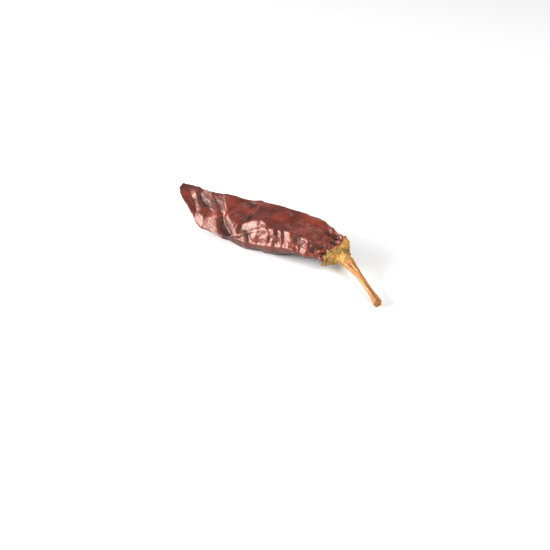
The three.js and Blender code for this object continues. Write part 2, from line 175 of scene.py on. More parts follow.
def extended(points: Array) -> Array:
    """Adds a point beyond either end, straight on from the last two."""
    first = 2.0 * points[:1] - points[1:2]
    last = 2.0 * points[-1:] - points[-2:-1]
    return np.concatenate([first, points, last])


def grid_normals(grid: Array) -> Array:
    """Outward normals of a grid of rings: across times along, by central differences."""
    along = np.gradient(grid, axis=0)
    across = np.roll(grid, -1, axis=1) - np.roll(grid, 1, axis=1)
    return unit(np.cross(across, along))


@dataclass(frozen=True)
class Noise:
    """Soft noise of this height, with lumps as wide as cell, both in mm. Its salt sets it
    apart from other noise."""

    height: float
    cell: float
    salt: float

    def at(self, points: Array) -> Array:
        """Height times soft noise, from -height to height."""
        return self.height * soft_noise(points, self.cell, self.salt)


@dataclass(frozen=True)
class Section:
    """One cross-section of the pod: its place along X, its leans and its four ribs (y, z)."""

    place: float
    lean_y: float
    lean_z: float
    far: Pair
    near: Pair
    toe: Pair
    heel: Pair


@dataclass(frozen=True)
class Crease:
    """A fold line. height is below 0 for a groove, slope sets how wide its flanks are, and
    wider stretches the flank on the line's left and right hand."""

    height: float
    slope: float
    points: tuple[Pair, ...]
    wider: Pair = (1.0, 1.0)


@dataclass(frozen=True)
class Hollow:
    """A shallow dent at x and side."""

    x: float
    side: float
    depth: float
    radius: float


@dataclass(frozen=True)
class ShadeSpot:
    """A place at x and side that the material darkens near black with painted shade and makes duller."""

    x: float
    side: float
    radius: float
    strength: float


@dataclass(frozen=True)
class Crumple:
    """Cells scattered through the skin, whose borders stand up as thin ridges."""

    cell: float
    height: float
    slope: float
    salt: float
    stretch: float = 1.35
    crest: float = 0.9
    sink: float = 0.3
    swirl: float = 1.6
    swirl_length: float = 15.0
    swirl_turns: tuple[Pair, Pair, Pair] = ((0.4, 1.7), (2.1, 0.3), (4.2, 2.6))

    def ridge(self, points: Array) -> Array:
        """Flank(gap) - sink, where gap is the difference of the distances to the two
        nearest seeds, so that straight facets rise to each border.

        Args:
            points: places on the plain pod, in mm.

        Returns:
            The ridge's share of its height, from about -sink to 1 - sink.
        """
        def bend(a: Array, turn: float) -> Array:
            return self.swirl * np.sin(a / self.swirl_length * TURN + turn + self.salt)

        widths = (self.cell * self.stretch, self.cell, self.cell)
        scaled = []
        for axis, turns in enumerate(self.swirl_turns):
            one, two = (points[..., other] for other in range(3) if other != axis)
            scaled.append((points[..., axis] + bend(one, turns[0]) + bend(two, turns[1])) / widths[axis])
        base = [np.floor(value) for value in scaled]
        first = np.full(points.shape[:-1], 1e9)
        second = first.copy()
        for step in np.ndindex(3, 3, 3):
            cell = [value + offset - 1 for value, offset in zip(base, step)]
            away = np.sqrt(sum(
                (cell[axis] + hashed(*cell, self.salt + axis) - scaled[axis])**2
                for axis in range(3)
            ))
            second = np.minimum(second, np.maximum(first, away))
            first = np.minimum(first, away)
        width = FLANK_SHARE * self.slope
        return flank((second - first) * self.cell, width, self.crest) - self.sink


SECTIONS = (
    Section(-62.5, 0.25, -0.1, (7.0, 22.3), (3.4, 20.2), (3.6, 19.3), (7.2, 21.2)),
    Section(-58.0, 0.15, -0.1, (8.5, 21.3), (-1.2, 18.0), (0.2, 16.8), (8.6, 18.6)),
    Section(-50.0, 0.05, 0.0, (7.0, 21.2), (-5.6, 14.0), (-3.4, 11.6), (8.6, 15.4)),
    Section(-41.0, 0.0, 0.0, (5.5, 22.6), (-9.6, 7.4), (-6.4, 4.8), (10.0, 11.0)),
    Section(-31.0, 0.0, 0.0, (5.5, 23.0), (-12.0, 5.8), (-8.4, 2.6), (12.0, 7.6)),
    Section(-20.0, 0.0, 0.0, (6.0, 22.6), (-14.5, 5.4), (-10.5, 2.4), (13.0, 6.6)),
    Section(-8.0, 0.0, 0.0, (7.0, 21.4), (-14.2, 9.4), (-14.2, 5.8), (14.0, 5.8)),
    Section(4.0, 0.0, 0.0, (4.5, 25.8), (-12.4, 15.0), (-15.6, 6.2), (14.5, 5.4)),
    Section(16.0, 0.0, 0.0, (4.5, 26.2), (-11.6, 18.4), (-15.6, 8.0), (14.5, 5.4)),
    Section(28.0, 0.06, 0.0, (5.0, 24.0), (-11.0, 18.8), (-15.6, 9.8), (13.5, 5.2)),
    Section(38.0, 0.16, 0.0, (5.5, 21.4), (-11.0, 17.0), (-15.2, 9.4), (11.5, 4.8)),
    Section(46.5, 0.3, 0.02, (4.0, 19.4), (-12.0, 14.2), (-14.4, 9.0), (8.0, 4.0)),
    Section(52.5, 0.45, 0.06, (1.2, 17.0), (-12.4, 12.6), (-13.4, 8.4), (3.6, 4.0)),
    Section(57.0, 0.58, 0.1, (-1.6, 14.0), (-11.6, 11.2), (-12.0, 6.6), (-1.4, 5.2)),
    Section(59.5, 0.6, 0.12, (-3.4, 12.2), (-10.0, 10.4), (-10.2, 6.6), (-3.4, 6.4)),
)

CREASES = (
    Crease(2.2, 1.8, ((-55.5, 0.2), (-53, 0.25), (-49, 0.4), (-45, 0.52), (-41, 0.6), (-40, 0.93)),
           (0.7, 1.0)),
    Crease(-2.4, 1.8, ((-49.5, 0.27), (-47, 0.35), (-43, 0.44), (-37, 0.48)), (1.5, 0.5)),
    Crease(2.7, 2.2, ((-41, 0.84), (-36, 0.76), (-31, 0.66), (-26, 0.54), (-24.5, 0.48)), (1.5, 2.8)),
    Crease(0.25, 2.0, ((-28, 0.08), (-25.5, 0.3), (-25.5, 0.5)), (2.4, 1.6)),
    Crease(2.3, 1.8, ((-23, 0.44), (-18.4, 0.58), (-13.7, 0.71), (-9.6, 0.93)), (0.8, 3.2)),
    Crease(-2.2, 1.2, ((-25.4, 0.52), (-20.8, 0.67), (-16.4, 0.82), (-12.4, 1.0)), (1.6, 0.5)),
    Crease(1.7, 2.0, ((-9, 0.7), (-3, 0.66), (5, 0.66), (8, 0.73), (11, 0.88), (13, 1.0)), (0.8, 1.3)),
    Crease(3.5, 2.2, ((-22.5, 0.42), (-16, 0.5), (-9, 0.62), (-6, 0.66)), (2.0, 2.6)),
    Crease(0.45, 1.0, ((5.5, 0.34), (2.5, 0.48), (0.0, 0.58))),
    Crease(0.45, 1.0, ((23.5, 0.3), (19.5, 0.46), (15.5, 0.58))),
    Crease(0.5, 1.0, ((25.5, 0.62), (28.0, 0.5), (31.5, 0.44))),
    Crease(1.3, 2.2, ((-1.8, 0.02), (-2.4, 0.28), (-1.8, 0.44), (0, 0.58))),
    Crease(0.9, 2.4, ((-24.5, 0.3), (-17, 0.28), (-8, 0.33), (-2, 0.44))),
    Crease(-1.0, 2.4, ((-19, 0.45), (-9, 0.5), (-1, 0.52))),
    Crease(1.0, 2.0, ((3, 0.62), (9, 0.52), (15, 0.4), (21, 0.22))),
    Crease(1.3, 1.8, ((-7, 1.95), (-3, 1.75), (0.4, 1.55))),
    Crease(-1.8, 1.8, ((-5, 1.3), (-1.5, 1.32), (1, 1.2))),
    Crease(1.4, 1.8, ((4.4, 1.08), (3.8, 1.45), (3.2, 1.9)), (0.8, 1.3)),
    Crease(1.1, 1.6, ((9.6, 1.06), (11.9, 1.3), (12.4, 1.6), (11.2, 1.95)), (1.3, 0.45)),
    Crease(1.5, 1.7, ((13.2, 0.98), (15.4, 1.15), (17.6, 1.45), (16.8, 1.7)), (1.1, 0.5)),
    Crease(0.7, 1.2, ((14.6, 1.4), (15.4, 1.65), (14.6, 1.95))),
    Crease(1.3, 1.7, ((17.6, 1.04), (20.6, 1.2), (22.4, 1.6), (22.0, 1.95)), (1.2, 0.45)),
    Crease(-0.8, 1.2, ((18.4, 1.35), (19.8, 1.65), (19.4, 1.95))),
    Crease(1.3, 1.9, ((22.6, 0.98), (25.8, 1.14), (28.4, 1.4), (29.6, 1.8)), (1.3, 0.9)),
    Crease(2.0, 1.7, ((37, 0.94), (41.2, 1.06), (41.6, 1.35), (40.2, 1.85)), (0.5, 0.5)),
    Crease(1.5, 1.3, ((41, 1.94), (44, 1.5), (46.4, 1.15)), (0.6, 0.5)),
    Crease(1.6, 1.4, ((40, 1.04), (45, 0.92), (48, 0.66))),
    Crease(-1.8, 1.6, ((46, 1.7), (48, 1.15), (53, 0.9))),
    Crease(1.3, 1.3, ((46, 1.5), (50, 1.2), (54, 1.0))),
    Crease(1.3, 1.4, ((29, 0.36), (32, 0.24), (39, 0.2), (44, 0.26)), (0.7, 1.3)),
    Crease(-1.6, 1.6, ((40, 0.3), (47, 0.28), (54, 0.36))),
    Crease(1.3, 1.6, ((-44, 3.3), (-34, 3.45), (-22, 3.3), (-12, 3.5), (0, 3.42))),
    Crease(-1.6, 2.0, ((-38, 3.7), (-26, 3.62), (-16, 3.75))),
    Crease(1.5, 1.9, ((-12, 3.5), (-6, 3.75), (-2, 4.0))),
    Crease(-1.7, 2.2, ((-6, 3.3), (6, 3.6), (16, 3.4))),
    Crease(1.4, 1.9, ((4, 3.2), (14, 3.62), (24, 3.5), (34, 3.75))),
    Crease(-1.4, 1.8, ((22, 3.25), (32, 3.4), (42, 3.3))),
    Crease(1.2, 1.8, ((-34, 2.2), (-26, 2.6), (-30, 2.95))),
)

# Spots of painted shade in the valleys, hollows and under the flap, where the skin lies in shade; they are
# also rougher.
SHADE_SPOTS = (
    ShadeSpot(-61.5, 0.4, 3.4, 0.5),
    ShadeSpot(-52.0, 0.1, 3.0, 0.5),
    ShadeSpot(-46.5, 0.34, 3.2, 0.9),
    ShadeSpot(-41.5, 0.42, 3.6, 1.0),
    ShadeSpot(-36.5, 0.47, 4.0, 1.0),
    ShadeSpot(-45.0, 0.15, 4.0, 0.35),
    ShadeSpot(-32.0, 0.46, 3.0, 0.6),
    ShadeSpot(-29.5, 0.26, 3.4, 0.6),
    ShadeSpot(-39.5, 0.74, 3.0, 0.6),
    ShadeSpot(-29.5, 0.9, 1.6, 0.4),
    ShadeSpot(-21.5, 0.66, 2.6, 0.95),
    ShadeSpot(-17.2, 0.84, 2.6, 0.95),
    ShadeSpot(-20.0, 1.35, 4.0, 0.8),
    ShadeSpot(-13.0, 1.4, 4.0, 0.8),
    ShadeSpot(-3.0, 1.3, 3.4, 0.8),
    ShadeSpot(6.6, 1.4, 2.6, 0.3),
    ShadeSpot(12.4, 1.5, 1.3, 0.9),
    ShadeSpot(17.4, 1.35, 1.2, 0.8),
    ShadeSpot(22.6, 1.5, 1.6, 0.7),
    ShadeSpot(32.5, 1.3, 4.0, 0.9),
    ShadeSpot(44.5, 1.35, 3.0, 0.7),
    ShadeSpot(51.0, 0.35, 2.6, 0.7),
)

HOLLOWS = (
    Hollow(-7, 0.0, 0.8, 5.0),
    Hollow(-14, 0.25, 1.3, 8.0),
    Hollow(12, 0.2, 0.9, 8.0),
    Hollow(26, 0.45, 0.8, 7.0),
    Hollow(-30, 3.5, 2.0, 9.0),
    Hollow(10, 3.5, 2.2, 11.0),
    Hollow(34, 3.5, 1.4, 8.0),
)


@dataclass(frozen=True)
class PodForm:
    """The plain pod under its folds: curves through the sections, closed round by a spline."""

    rib_spread: tuple[float, float, float, float] = (0.1, 0.16, 0.16, 0.14)
    apex_share: float = 1.5
    points_round: int = 16
    sag: float = 8.0
    sag_skew: float = 0.85
    sag_tip_end: Pair = (-46.0, -8.0)
    sag_stem_end: Pair = (10.0, 50.0)
    girth_steps: int = 64
    girth_rows: int = 281
    slope_step: float = 0.04

    @property
    def last(self) -> int:
        """The number of the last section."""
        return len(SECTIONS) - 1

    def controls(self) -> Array:
        """Sixteen control points round each section: for each rib a point before it, the
        rib moved out so that the spline meets it, a point after it, and the side's middle.

        Returns:
            Control points by section, with one more section beyond either end.
        """
        net = []
        for section in SECTIONS:
            ribs = np.array([section.far, section.near, section.toe, section.heel])
            before = mix(ribs, np.roll(ribs, 1, axis=0), np.array(self.rib_spread)[:, None])
            after = mix(ribs, np.roll(ribs, -1, axis=0), np.array(self.rib_spread)[:, None])
            apex = mix((before + after) / 2.0, ribs, self.apex_share)
            middle = (ribs + np.roll(ribs, -1, axis=0)) / 2.0
            ring = np.stack([before, apex, after, middle], axis=1).reshape(self.points_round, 2)
            away = ring - ribs.mean(axis=0)
            turn = section.lean_y * away[:, 0] + section.lean_z * away[:, 1]
            net.append(np.column_stack([section.place + turn, ring]))
        return extended(np.array(net))

    def end_axis(self) -> Array:
        """The way that the shoulder points, square to the last section."""
        last = SECTIONS[-1]
        return unit(np.array([1.0, -last.lean_y, -last.lean_z]))

    def section_of(self, x: Array) -> Array:
        """The section number, with its fraction, of a place along X."""
        return np.interp(x, [s.place for s in SECTIONS], np.arange(len(SECTIONS)))

    def place_of(self, u: Array) -> Array:
        """The place along X of a section number."""
        return np.interp(u, np.arange(len(SECTIONS)), [s.place for s in SECTIONS])

    def on_sections(self, u: Array, side: Array) -> Array:
        """Sum of curve weight times round weight times control point, before any sag.

        Args:
            u: section numbers.
            side: places round the pod.

        Returns:
            Points in mm.
        """
        u, side = np.broadcast_arrays(np.asarray(u, float), np.asarray(side, float))
        net = self.controls()
        i = clamp(np.floor(u), 0, self.last - 1).astype(int)
        v = np.mod(side, 4.0) * self.points_round / 4.0 + 1.0
        j = np.floor(v).astype(int)
        along = curve_weights(u - i)
        across = round_weights(v - j)
        points = np.zeros(u.shape + (3,))
        for a, b in np.ndindex(4, 4):
            points += (along[a] * across[b])[..., None] * net[i + a, (j + b - 1) % self.points_round]
        return points

    def plain(self, u: Array, side: Array) -> Array:
        """The plain pod. Its sole is lowered by sag * along * sin(pi * s^skew), where s goes
        from 0 at the toe to 1 at the heel and along fades out towards the pod's ends."""
        points = self.on_sections(u, side)
        x = points[..., 0]
        along = smooth(*self.sag_tip_end, x) * (1.0 - smooth(*self.sag_stem_end, x))
        sole = clamp(np.mod(side, 4.0) - 2.0)
        points[..., 2] -= self.sag * along * np.sin(math.pi * sole**self.sag_skew)
        return points

    def normals(self, u: Array, side: Array) -> Array:
        """Outward normals of the plain pod, by differences along and round it."""
        step = self.slope_step
        ahead = self.plain(np.minimum(u + step, self.last), side)
        along = ahead - self.plain(np.maximum(u - step, 0.0), side)
        across = self.plain(u, side + step) - self.plain(u, side - step)
        return unit(np.cross(across, along))

    def girth_table(self) -> Array:
        """Length round each of many sections, from the far rib to each of many sides."""
        u = np.linspace(0.0, self.last, self.girth_rows)[:, None]
        side = np.linspace(0.0, 4.0, self.girth_steps + 1)[None, :]
        rings = self.on_sections(u, side)
        steps = np.linalg.norm(np.diff(rings, axis=1), axis=-1)
        return np.concatenate([np.zeros((self.girth_rows, 1)), np.cumsum(steps, axis=1)], axis=1)

    def girth(self, u: Array, side: Array) -> tuple[Array, Array]:
        """Length round the pod from its far rib, read between the rows of the table.

        Args:
            u: section numbers.
            side: places round the pod, which may pass 4 or go below 0.

        Returns:
            The length to side, and the whole length round, in mm.
        """
        u, side = np.broadcast_arrays(np.asarray(u, float), np.asarray(side, float))
        table = self.girth_table()
        row = clamp(u / self.last * (self.girth_rows - 1), 0, self.girth_rows - 1.001)
        turns = np.floor(side / 4.0)
        column = clamp((side / 4.0 - turns) * self.girth_steps, 0, self.girth_steps - 1e-6)
        i, j = row.astype(int), column.astype(int)
        upper = mix(table[i, j], table[i, j + 1], column - j)
        lower = mix(table[i + 1, j], table[i + 1, j + 1], column - j)
        full = mix(table[i, -1], table[i + 1, -1], row - i)
        return mix(upper, lower, row - i) + turns * full, full


@dataclass(frozen=True)
class Kinks:
    """Straight soft creases in many directions, which break the skin into flat facets."""

    count: int = 110
    reach: Pair = (8.0, 22.0)
    steepness: Pair = (0.05, 0.13)
    round_off: float = 0.3
    seed: int = 11
    raised_share: float = 0.6
    level: float = 0.3

    def height(self, points: Array, normals: Array) -> Array:
        """Sum over kinks of steepness * (level * reach - hypot(distance, round_off)) * fade^2,
        where distance is measured across the kink's line and fade falls to 0 at its reach.

        Args:
            points: places on the plain pod.
            normals: its normals there.

        Returns:
            Height in mm.
        """
        draw = np.random.default_rng(self.seed)
        flat = points.reshape(-1, 3)
        chosen = draw.integers(0, len(flat), self.count)
        total = np.zeros(points.shape[:-1])
        for index in chosen:
            centre = flat[index]
            normal = normals.reshape(-1, 3)[index]
            across = unit(np.cross(normal, draw.normal(size=3)))
            reach = draw.uniform(*self.reach)
            steepness = draw.uniform(*self.steepness) * (1.0 if draw.random() < self.raised_share else -1.0)
            away = points - centre
            fade = clamp(1.0 - (away**2).sum(axis=-1) / reach**2)**2
            distance = np.hypot(away @ across, self.round_off)
            total += steepness * (self.level * reach - distance) * fade
        return total


@dataclass(frozen=True)
class Gathers:
    """Ridges that run out from the calyx over the shoulder."""

    count: int = 10
    height: float = 0.6
    start: Pair = (40.0, 51.0)
    sway: float = 0.9
    sway_length: float = 4.0
    unevenness: float = 0.7

    def ridge(self, x: Array, angle: Array) -> Array:
        """Height * (1 - 2 |sin(wave)|). The wave is count / 2 times the angle round the pod,
        with sway * sin(x / sway_length) and unevenness * sin(2 * angle) added."""
        wave = self.count / 2 * angle + self.sway * np.sin(x / self.sway_length)
        wave = wave + self.unevenness * np.sin(2.0 * angle)
        return self.height * smooth(*self.start, x) * (1.0 - 2.0 * np.abs(np.sin(wave)))


@dataclass(frozen=True)
class Pleats:
    """Fine upright pleats on the front, between the near rib and the toe."""

    height: float = 0.1
    spacing: float = 3.4
    lean: float = 2.2
    sides: tuple[float, float, float] = (0.95, 2.0, 0.16)
    run: tuple[float, float, float] = (-12.0, 48.0, 6.0)
    sway: tuple[Noise, Noise] = (Noise(1.5, 7.0, 51.0), Noise(0.5, 2.6, 52.0))
    mean: float = 0.55
    uneven: Noise = Noise(0.45, 9.0, 53.0)

    def ridge(self, x: Array, side: Array, points: Array) -> Array:
        """Height * (1 - 2 |sin|) of x over the spacing, leaning a little and bent by noise,
        inside a window of sides and a run along the pod.

        Args:
            x: places along the pod.
            side: places round it.
            points: the plain pod.

        Returns:
            Height in mm.
        """
        place = np.mod(side, 4.0)
        spot = window(place, *self.sides) * window(x, *self.run)
        bent = x - self.lean * (place - 1.0) + sum(noise.at(points) for noise in self.sway)
        share = (self.mean + self.uneven.at(points)) * spot
        return self.height * share * (1.0 - 2.0 * np.abs(np.sin(bent / self.spacing * math.pi)))


@dataclass(frozen=True)
class PodSkin:
    """The pod's skin with all its folds, and the fine wrinkles that only the looks need."""

    form: PodForm = PodForm()
    rim: float = 54.0
    crest_round: float = 0.4
    hand_blend: float = 0.6
    hand_round: float = 0.5
    taper: float = 5.0
    end_share: float = 0.25
    shoulder_from: Pair = (18.0, 34.0)
    neck_from: Pair = (40.0, 50.0)
    side_wrap: float = 0.4
    front_sides: tuple[float, float, float] = (-0.2, 2.2, 0.3)
    front_at_neck: float = 0.3
    calm_sides: tuple[float, float, float] = (-0.1, 1.05, 0.2)
    calm_end: Pair = (22.0, 36.0)
    tip_fade: Pair = (-62.5, -54.0)
    calyx_fade: Pair = (53.0, 56.5)
    broad: Crumple = Crumple(13.0, 1.3, 2.4, 3.0, crest=0.5)
    shoulder_crumple: Crumple = Crumple(7.5, 1.1, 1.6, 8.0, crest=0.4)
    wrinkle: Crumple = Crumple(4.2, 0.4, 0.8, 21.0, stretch=1.7, crest=0.3, swirl=1.2)
    grain: Crumple = Crumple(1.9, 0.1, 0.45, 34.0, stretch=1.5, crest=0.2, swirl=0.8)
    kinks: Kinks = Kinks()
    small_kinks: Kinks = Kinks(280, (3.5, 8.0), (0.05, 0.12), 0.25, 23)
    gathers: Gathers = Gathers()
    pleats: Pleats = Pleats()
    shoulder_broad: float = 0.5
    front_broad: float = 0.12
    front_crumple: float = 0.3
    neck_crumple: float = 0.8
    wrinkle_shares: tuple[float, float, float, float] = (0.9, 0.4, -0.5, -0.25)
    grain_shares: Pair = (0.4, 1.4)
    front_kinks: float = 0.3
    front_small_kinks: float = 0.4
    # The crest mark drives a painted highlight on the skin's ridges.
    crest_highlight_blur: tuple[int, int] = (4, 3)
    crest_highlight_range: float = 0.7
    # The fold mark drives painted shade in the skin's creases and valleys.
    fold_shade_blur: tuple[int, int] = (16, 12)
    fold_shade_range: float = 2.2
    # Sides of the underside that get painted shade.
    shaded_sole_sides: tuple[float, float, float] = (1.9, 3.4, 0.25)
    shade_spot_edge: Noise = Noise(0.5, 2.6, 91.0)
    rows: int = 404
    shoulder_rows: int = 22
    side_shares: tuple[int, int, int, int] = (76, 52, 44, 58)
    cap_rows: int = 5
    tip_bulge: float = 0.6
    tip_point: float = 0.02
    shoulder_bulge: float = 0.8

    def sides(self) -> Array:
        """Places round the pod, closer together on the pleated front than on the sole."""
        parts = [k + np.arange(n) / n for k, n in enumerate(self.side_shares)]
        return np.concatenate(parts)

    def crease_height(self, x: Array, g: Array, full: Array, crease: Crease) -> Array:
        """Height * taper * flank(d), with d the distance from the crease's line on the skin
        laid out flat. The taper rises from end_share at the line's ends.

        Args:
            x: places along the pod.
            g: lengths round the pod.
            full: the whole length round.
            crease: the fold line.

        Returns:
            Height in mm.
        """
        marks = np.array(crease.points, float)
        lengths, _ = self.form.girth(self.form.section_of(marks[:, 0]), marks[:, 1])
        line = np.column_stack([marks[:, 0], lengths])
        starts = np.concatenate([[0.0], np.cumsum(np.linalg.norm(np.diff(line, axis=0), axis=1))])
        best = np.zeros(x.shape)
        for turn in (-1.0, 0.0, 1.0):
            nearest = np.full(x.shape, 1e9)
            travelled = np.zeros(x.shape)
            hand = np.zeros(x.shape)
            for k in range(len(line) - 1):
                step = line[k + 1] - line[k]
                ax = x - line[k, 0]
                ag = g + turn * full - line[k, 1]
                t = clamp((ax * step[0] + ag * step[1]) / (step @ step))
                away = np.hypot(ax - t * step[0], ag - t * step[1])
                closer = away < nearest
                nearest = np.where(closer, away, nearest)
                travelled = np.where(closer, starts[k] + t * (starts[k + 1] - starts[k]), travelled)
                hand = np.where(closer, step[0] * ag - step[1] * ax, hand)
            inwards = smooth(0.0, self.taper, np.minimum(travelled, starts[-1] - travelled))
            to_right = smooth(-self.hand_blend, self.hand_blend, -hand / (nearest + self.hand_round))
            width = FLANK_SHARE * crease.slope * mix(*crease.wider, to_right)
            share = mix(self.end_share, 1.0, inwards) * flank(nearest, width, self.crest_round)
            best = np.maximum(best, share)
        return crease.height * best

    def folds(self, x: Array, g: Array, full: Array) -> Array:
        """All the fold lines, less the hollows: depth * exp(-(away / radius)^2)."""
        height = np.zeros(x.shape)
        for crease in CREASES:
            height += self.crease_height(x, g, full, crease)
        for hollow in HOLLOWS:
            at, _ = self.form.girth(self.form.section_of(hollow.x), hollow.side)
            away = np.hypot(x - hollow.x, g - at)
            height -= hollow.depth * np.exp(-((away / hollow.radius)**2))
        return height

    def shade_spots(self, x: Array, side: Array, points: Array) -> Array:
        """The strongest of the painted shade spots: strength * exp(-(away / radius)^2), with the
        distance made uneven by noise."""
        g, _ = self.form.girth(self.form.section_of(x), side)
        uneven = 1.0 + self.shade_spot_edge.at(points)
        dark = np.zeros(points.shape[:-1])
        for stain in SHADE_SPOTS:
            at, _ = self.form.girth(self.form.section_of(stain.x), stain.side)
            away = np.hypot(x - stain.x, g - at) * uneven
            dark = np.maximum(dark, stain.strength * np.exp(-((away / stain.radius)**2)))
        return dark

    def heights(self, points: Array, normals: Array, x: Array, side: Array) -> Array:
        """All the relief of the skin along its normals.

        Args:
            points: the plain pod.
            normals: its normals.
            x: places along the pod.
            side: places round it.

        Returns:
            Height in mm.
        """
        g, full = self.form.girth(self.form.section_of(x), side)
        shoulder = smooth(*self.shoulder_from, x)
        neck = smooth(*self.neck_from, x)
        place = np.mod(side + self.side_wrap, 4.0) - self.side_wrap
        front = window(place, *self.front_sides) * mix(1.0, self.front_at_neck, neck)
        calm = window(place, *self.calm_sides) * (1.0 - smooth(*self.calm_end, x))
        broad = mix(mix(1.0, self.shoulder_broad, shoulder), self.front_broad, front)
        crumpled = shoulder * mix(1.0, self.front_crumple + self.neck_crumple * neck, front)
        plain, at_neck, at_front, at_calm = self.wrinkle_shares
        wrinkled = plain + at_neck * neck + at_front * front + at_calm * calm
        height = self.folds(x, g, full)
        height += self.gathers.ridge(x, g / full * TURN) + self.pleats.ridge(x, side, points)
        for crumple, share in (
            (self.broad, broad),
            (self.shoulder_crumple, crumpled),
            (self.wrinkle, wrinkled),
            (self.grain, mix(*self.grain_shares, shoulder)),
        ):
            height += crumple.height * share * crumple.ridge(points)
        height += mix(1.0, self.front_kinks, front) * self.kinks.height(points, normals)
        height += mix(1.0, self.front_small_kinks, front) * self.small_kinks.height(points, normals)
        return height * smooth(*self.tip_fade, x)

    def surface(self, u: Array, side: Array) -> tuple[Array, Array, Array]:
        """The skin at section numbers u and sides.

        Args:
            u: section numbers.
            side: places round the pod.

        Returns:
            Points and plain normals in mm, and the height of the relief.
        """
        u, side = np.broadcast_arrays(np.asarray(u, float), np.asarray(side, float))
        plain = self.form.plain(u, side)
        normals = self.form.normals(u, side)
        x = self.form.place_of(u)
        height = self.heights(plain, normals, x, side) * (1.0 - smooth(*self.calyx_fade, x))
        return plain + normals * height[..., None], normals, height

    def section_numbers(self) -> Array:
        """Section numbers of the grid's rows, evenly along X and then over the shoulder."""
        along = self.form.section_of(np.linspace(SECTIONS[0].place, self.rim, self.rows))
        over = np.linspace(along[-1], self.form.last, self.shoulder_rows + 1)[1:]
        return np.concatenate([along, over])

    def build(self) -> tuple[Array, dict[Relief, Array]]:
        """Makes the rings of the pod, with a rounded cap at the tip.

        Returns:
            The rings, and what the material needs to know about each point.
        """
        side = self.sides()[None, :]
        u = self.section_numbers()[:, None]
        points, _, height = self.surface(u, side)
        points[..., 2] = np.maximum(points[..., 2], 0.0)
        # Crests, where the relief stands above its surroundings, get a painted highlight.
        crest = height - blur(height, *self.crest_highlight_blur)
        # Folds, where the relief sinks below its surroundings, get painted shade.
        fold = height - blur(height, *self.fold_shade_blur)
        shoulder = smooth(*self.shoulder_from, np.broadcast_to(self.form.place_of(u), height.shape))
        marks = {
            Relief.CREST: clamp(0.5 + crest / self.crest_highlight_range),
            Relief.FOLD: clamp(0.5 + fold / self.fold_shade_range),
            Relief.SHOULDER: shoulder,
            # The underside gets painted shade.
            Relief.SOLE: window(np.broadcast_to(side, height.shape), *self.shaded_sole_sides),
            # Spots of painted shade.
            Relief.STAIN: self.shade_spots(self.form.place_of(u), side, points),
        }
        middle = points[0].mean(axis=0)
        angle = np.linspace(0.0, math.pi / 2.0, self.cap_rows + 1)[:-1][::-1]
        caps = np.stack([
            middle + (points[0] - middle) * math.cos(a) - np.array([self.tip_bulge * math.sin(a), 0, 0])
            for a in angle[:-1]
        ])
        rings = np.concatenate([caps, points])
        marks = {
            name: np.concatenate([np.repeat(value[:1], len(caps), axis=0), value])
            for name, value in marks.items()
        }
        return rings, marks


@dataclass(frozen=True)
class StemLine:
    """The stem's middle line: a centripetal Catmull-Rom curve through its points."""

    path: tuple[Point, ...] = (
        (67.6, -11.0, 8.0),
        (72.6, -13.8, 6.6),
        (79.8, -18.9, 5.2),
        (86.8, -24.8, 4.3),
        (93.1, -30.4, 3.6),
        (98.6, -35.7, 3.2),
    )
    steps: int = 80

    def dense(self) -> Array:
        """Points along the line. Between two path points the tangents are scaled by the
        square roots of the distances between the four points round them."""
        net = extended(np.array(self.path))
        t = np.linspace(0.0, 1.0, self.steps, endpoint=False)[:, None]
        parts = []
        for k in range(len(self.path) - 1):
            p0, p1, p2, p3 = net[k:k + 4]
            d0, d1, d2 = (math.sqrt(np.linalg.norm(b - a)) for a, b in ((p0, p1), (p1, p2), (p2, p3)))
            m1 = ((p1 - p0) / d0 - (p2 - p0) / (d0 + d1) + (p2 - p1) / d1) * d1
            m2 = ((p2 - p1) / d1 - (p3 - p1) / (d1 + d2) + (p3 - p2) / d2) * d1
            parts.append(
                p1 + m1 * t
                + (-3.0 * p1 + 3.0 * p2 - 2.0 * m1 - m2) * t**2
                + (2.0 * p1 - 2.0 * p2 + m1 + m2) * t**3
            )
        return np.concatenate(parts + [np.array(self.path[-1:])])

    def at(self, share: Array) -> tuple[Array, Array, float]:
        """Points and directions at shares of the line's length.

        Args:
            share: from 0 at the root to 1 at the cut end.

        Returns:
            Points, directions, and the line's length in mm.
        """
        dense = self.dense()
        length = np.concatenate([[0.0], np.cumsum(np.linalg.norm(np.diff(dense, axis=0), axis=1))])
        place = np.asarray(share) * length[-1]
        points = np.stack([np.interp(place, length, dense[:, k]) for k in range(3)], axis=-1)
        slope = np.gradient(dense, length, axis=0)
        ways = np.stack([np.interp(place, length, slope[:, k]) for k in range(3)], axis=-1)
        return points, unit(ways), float(length[-1])


def ring_axes(forward: Array) -> tuple[Array, Array]:
    """Two directions across forward: one as near to up as it can be, and one to its side."""
    up = unit(np.array([0.0, 0.0, 1.0]) - forward * forward[..., 2:3])
    return up, np.cross(forward, up)


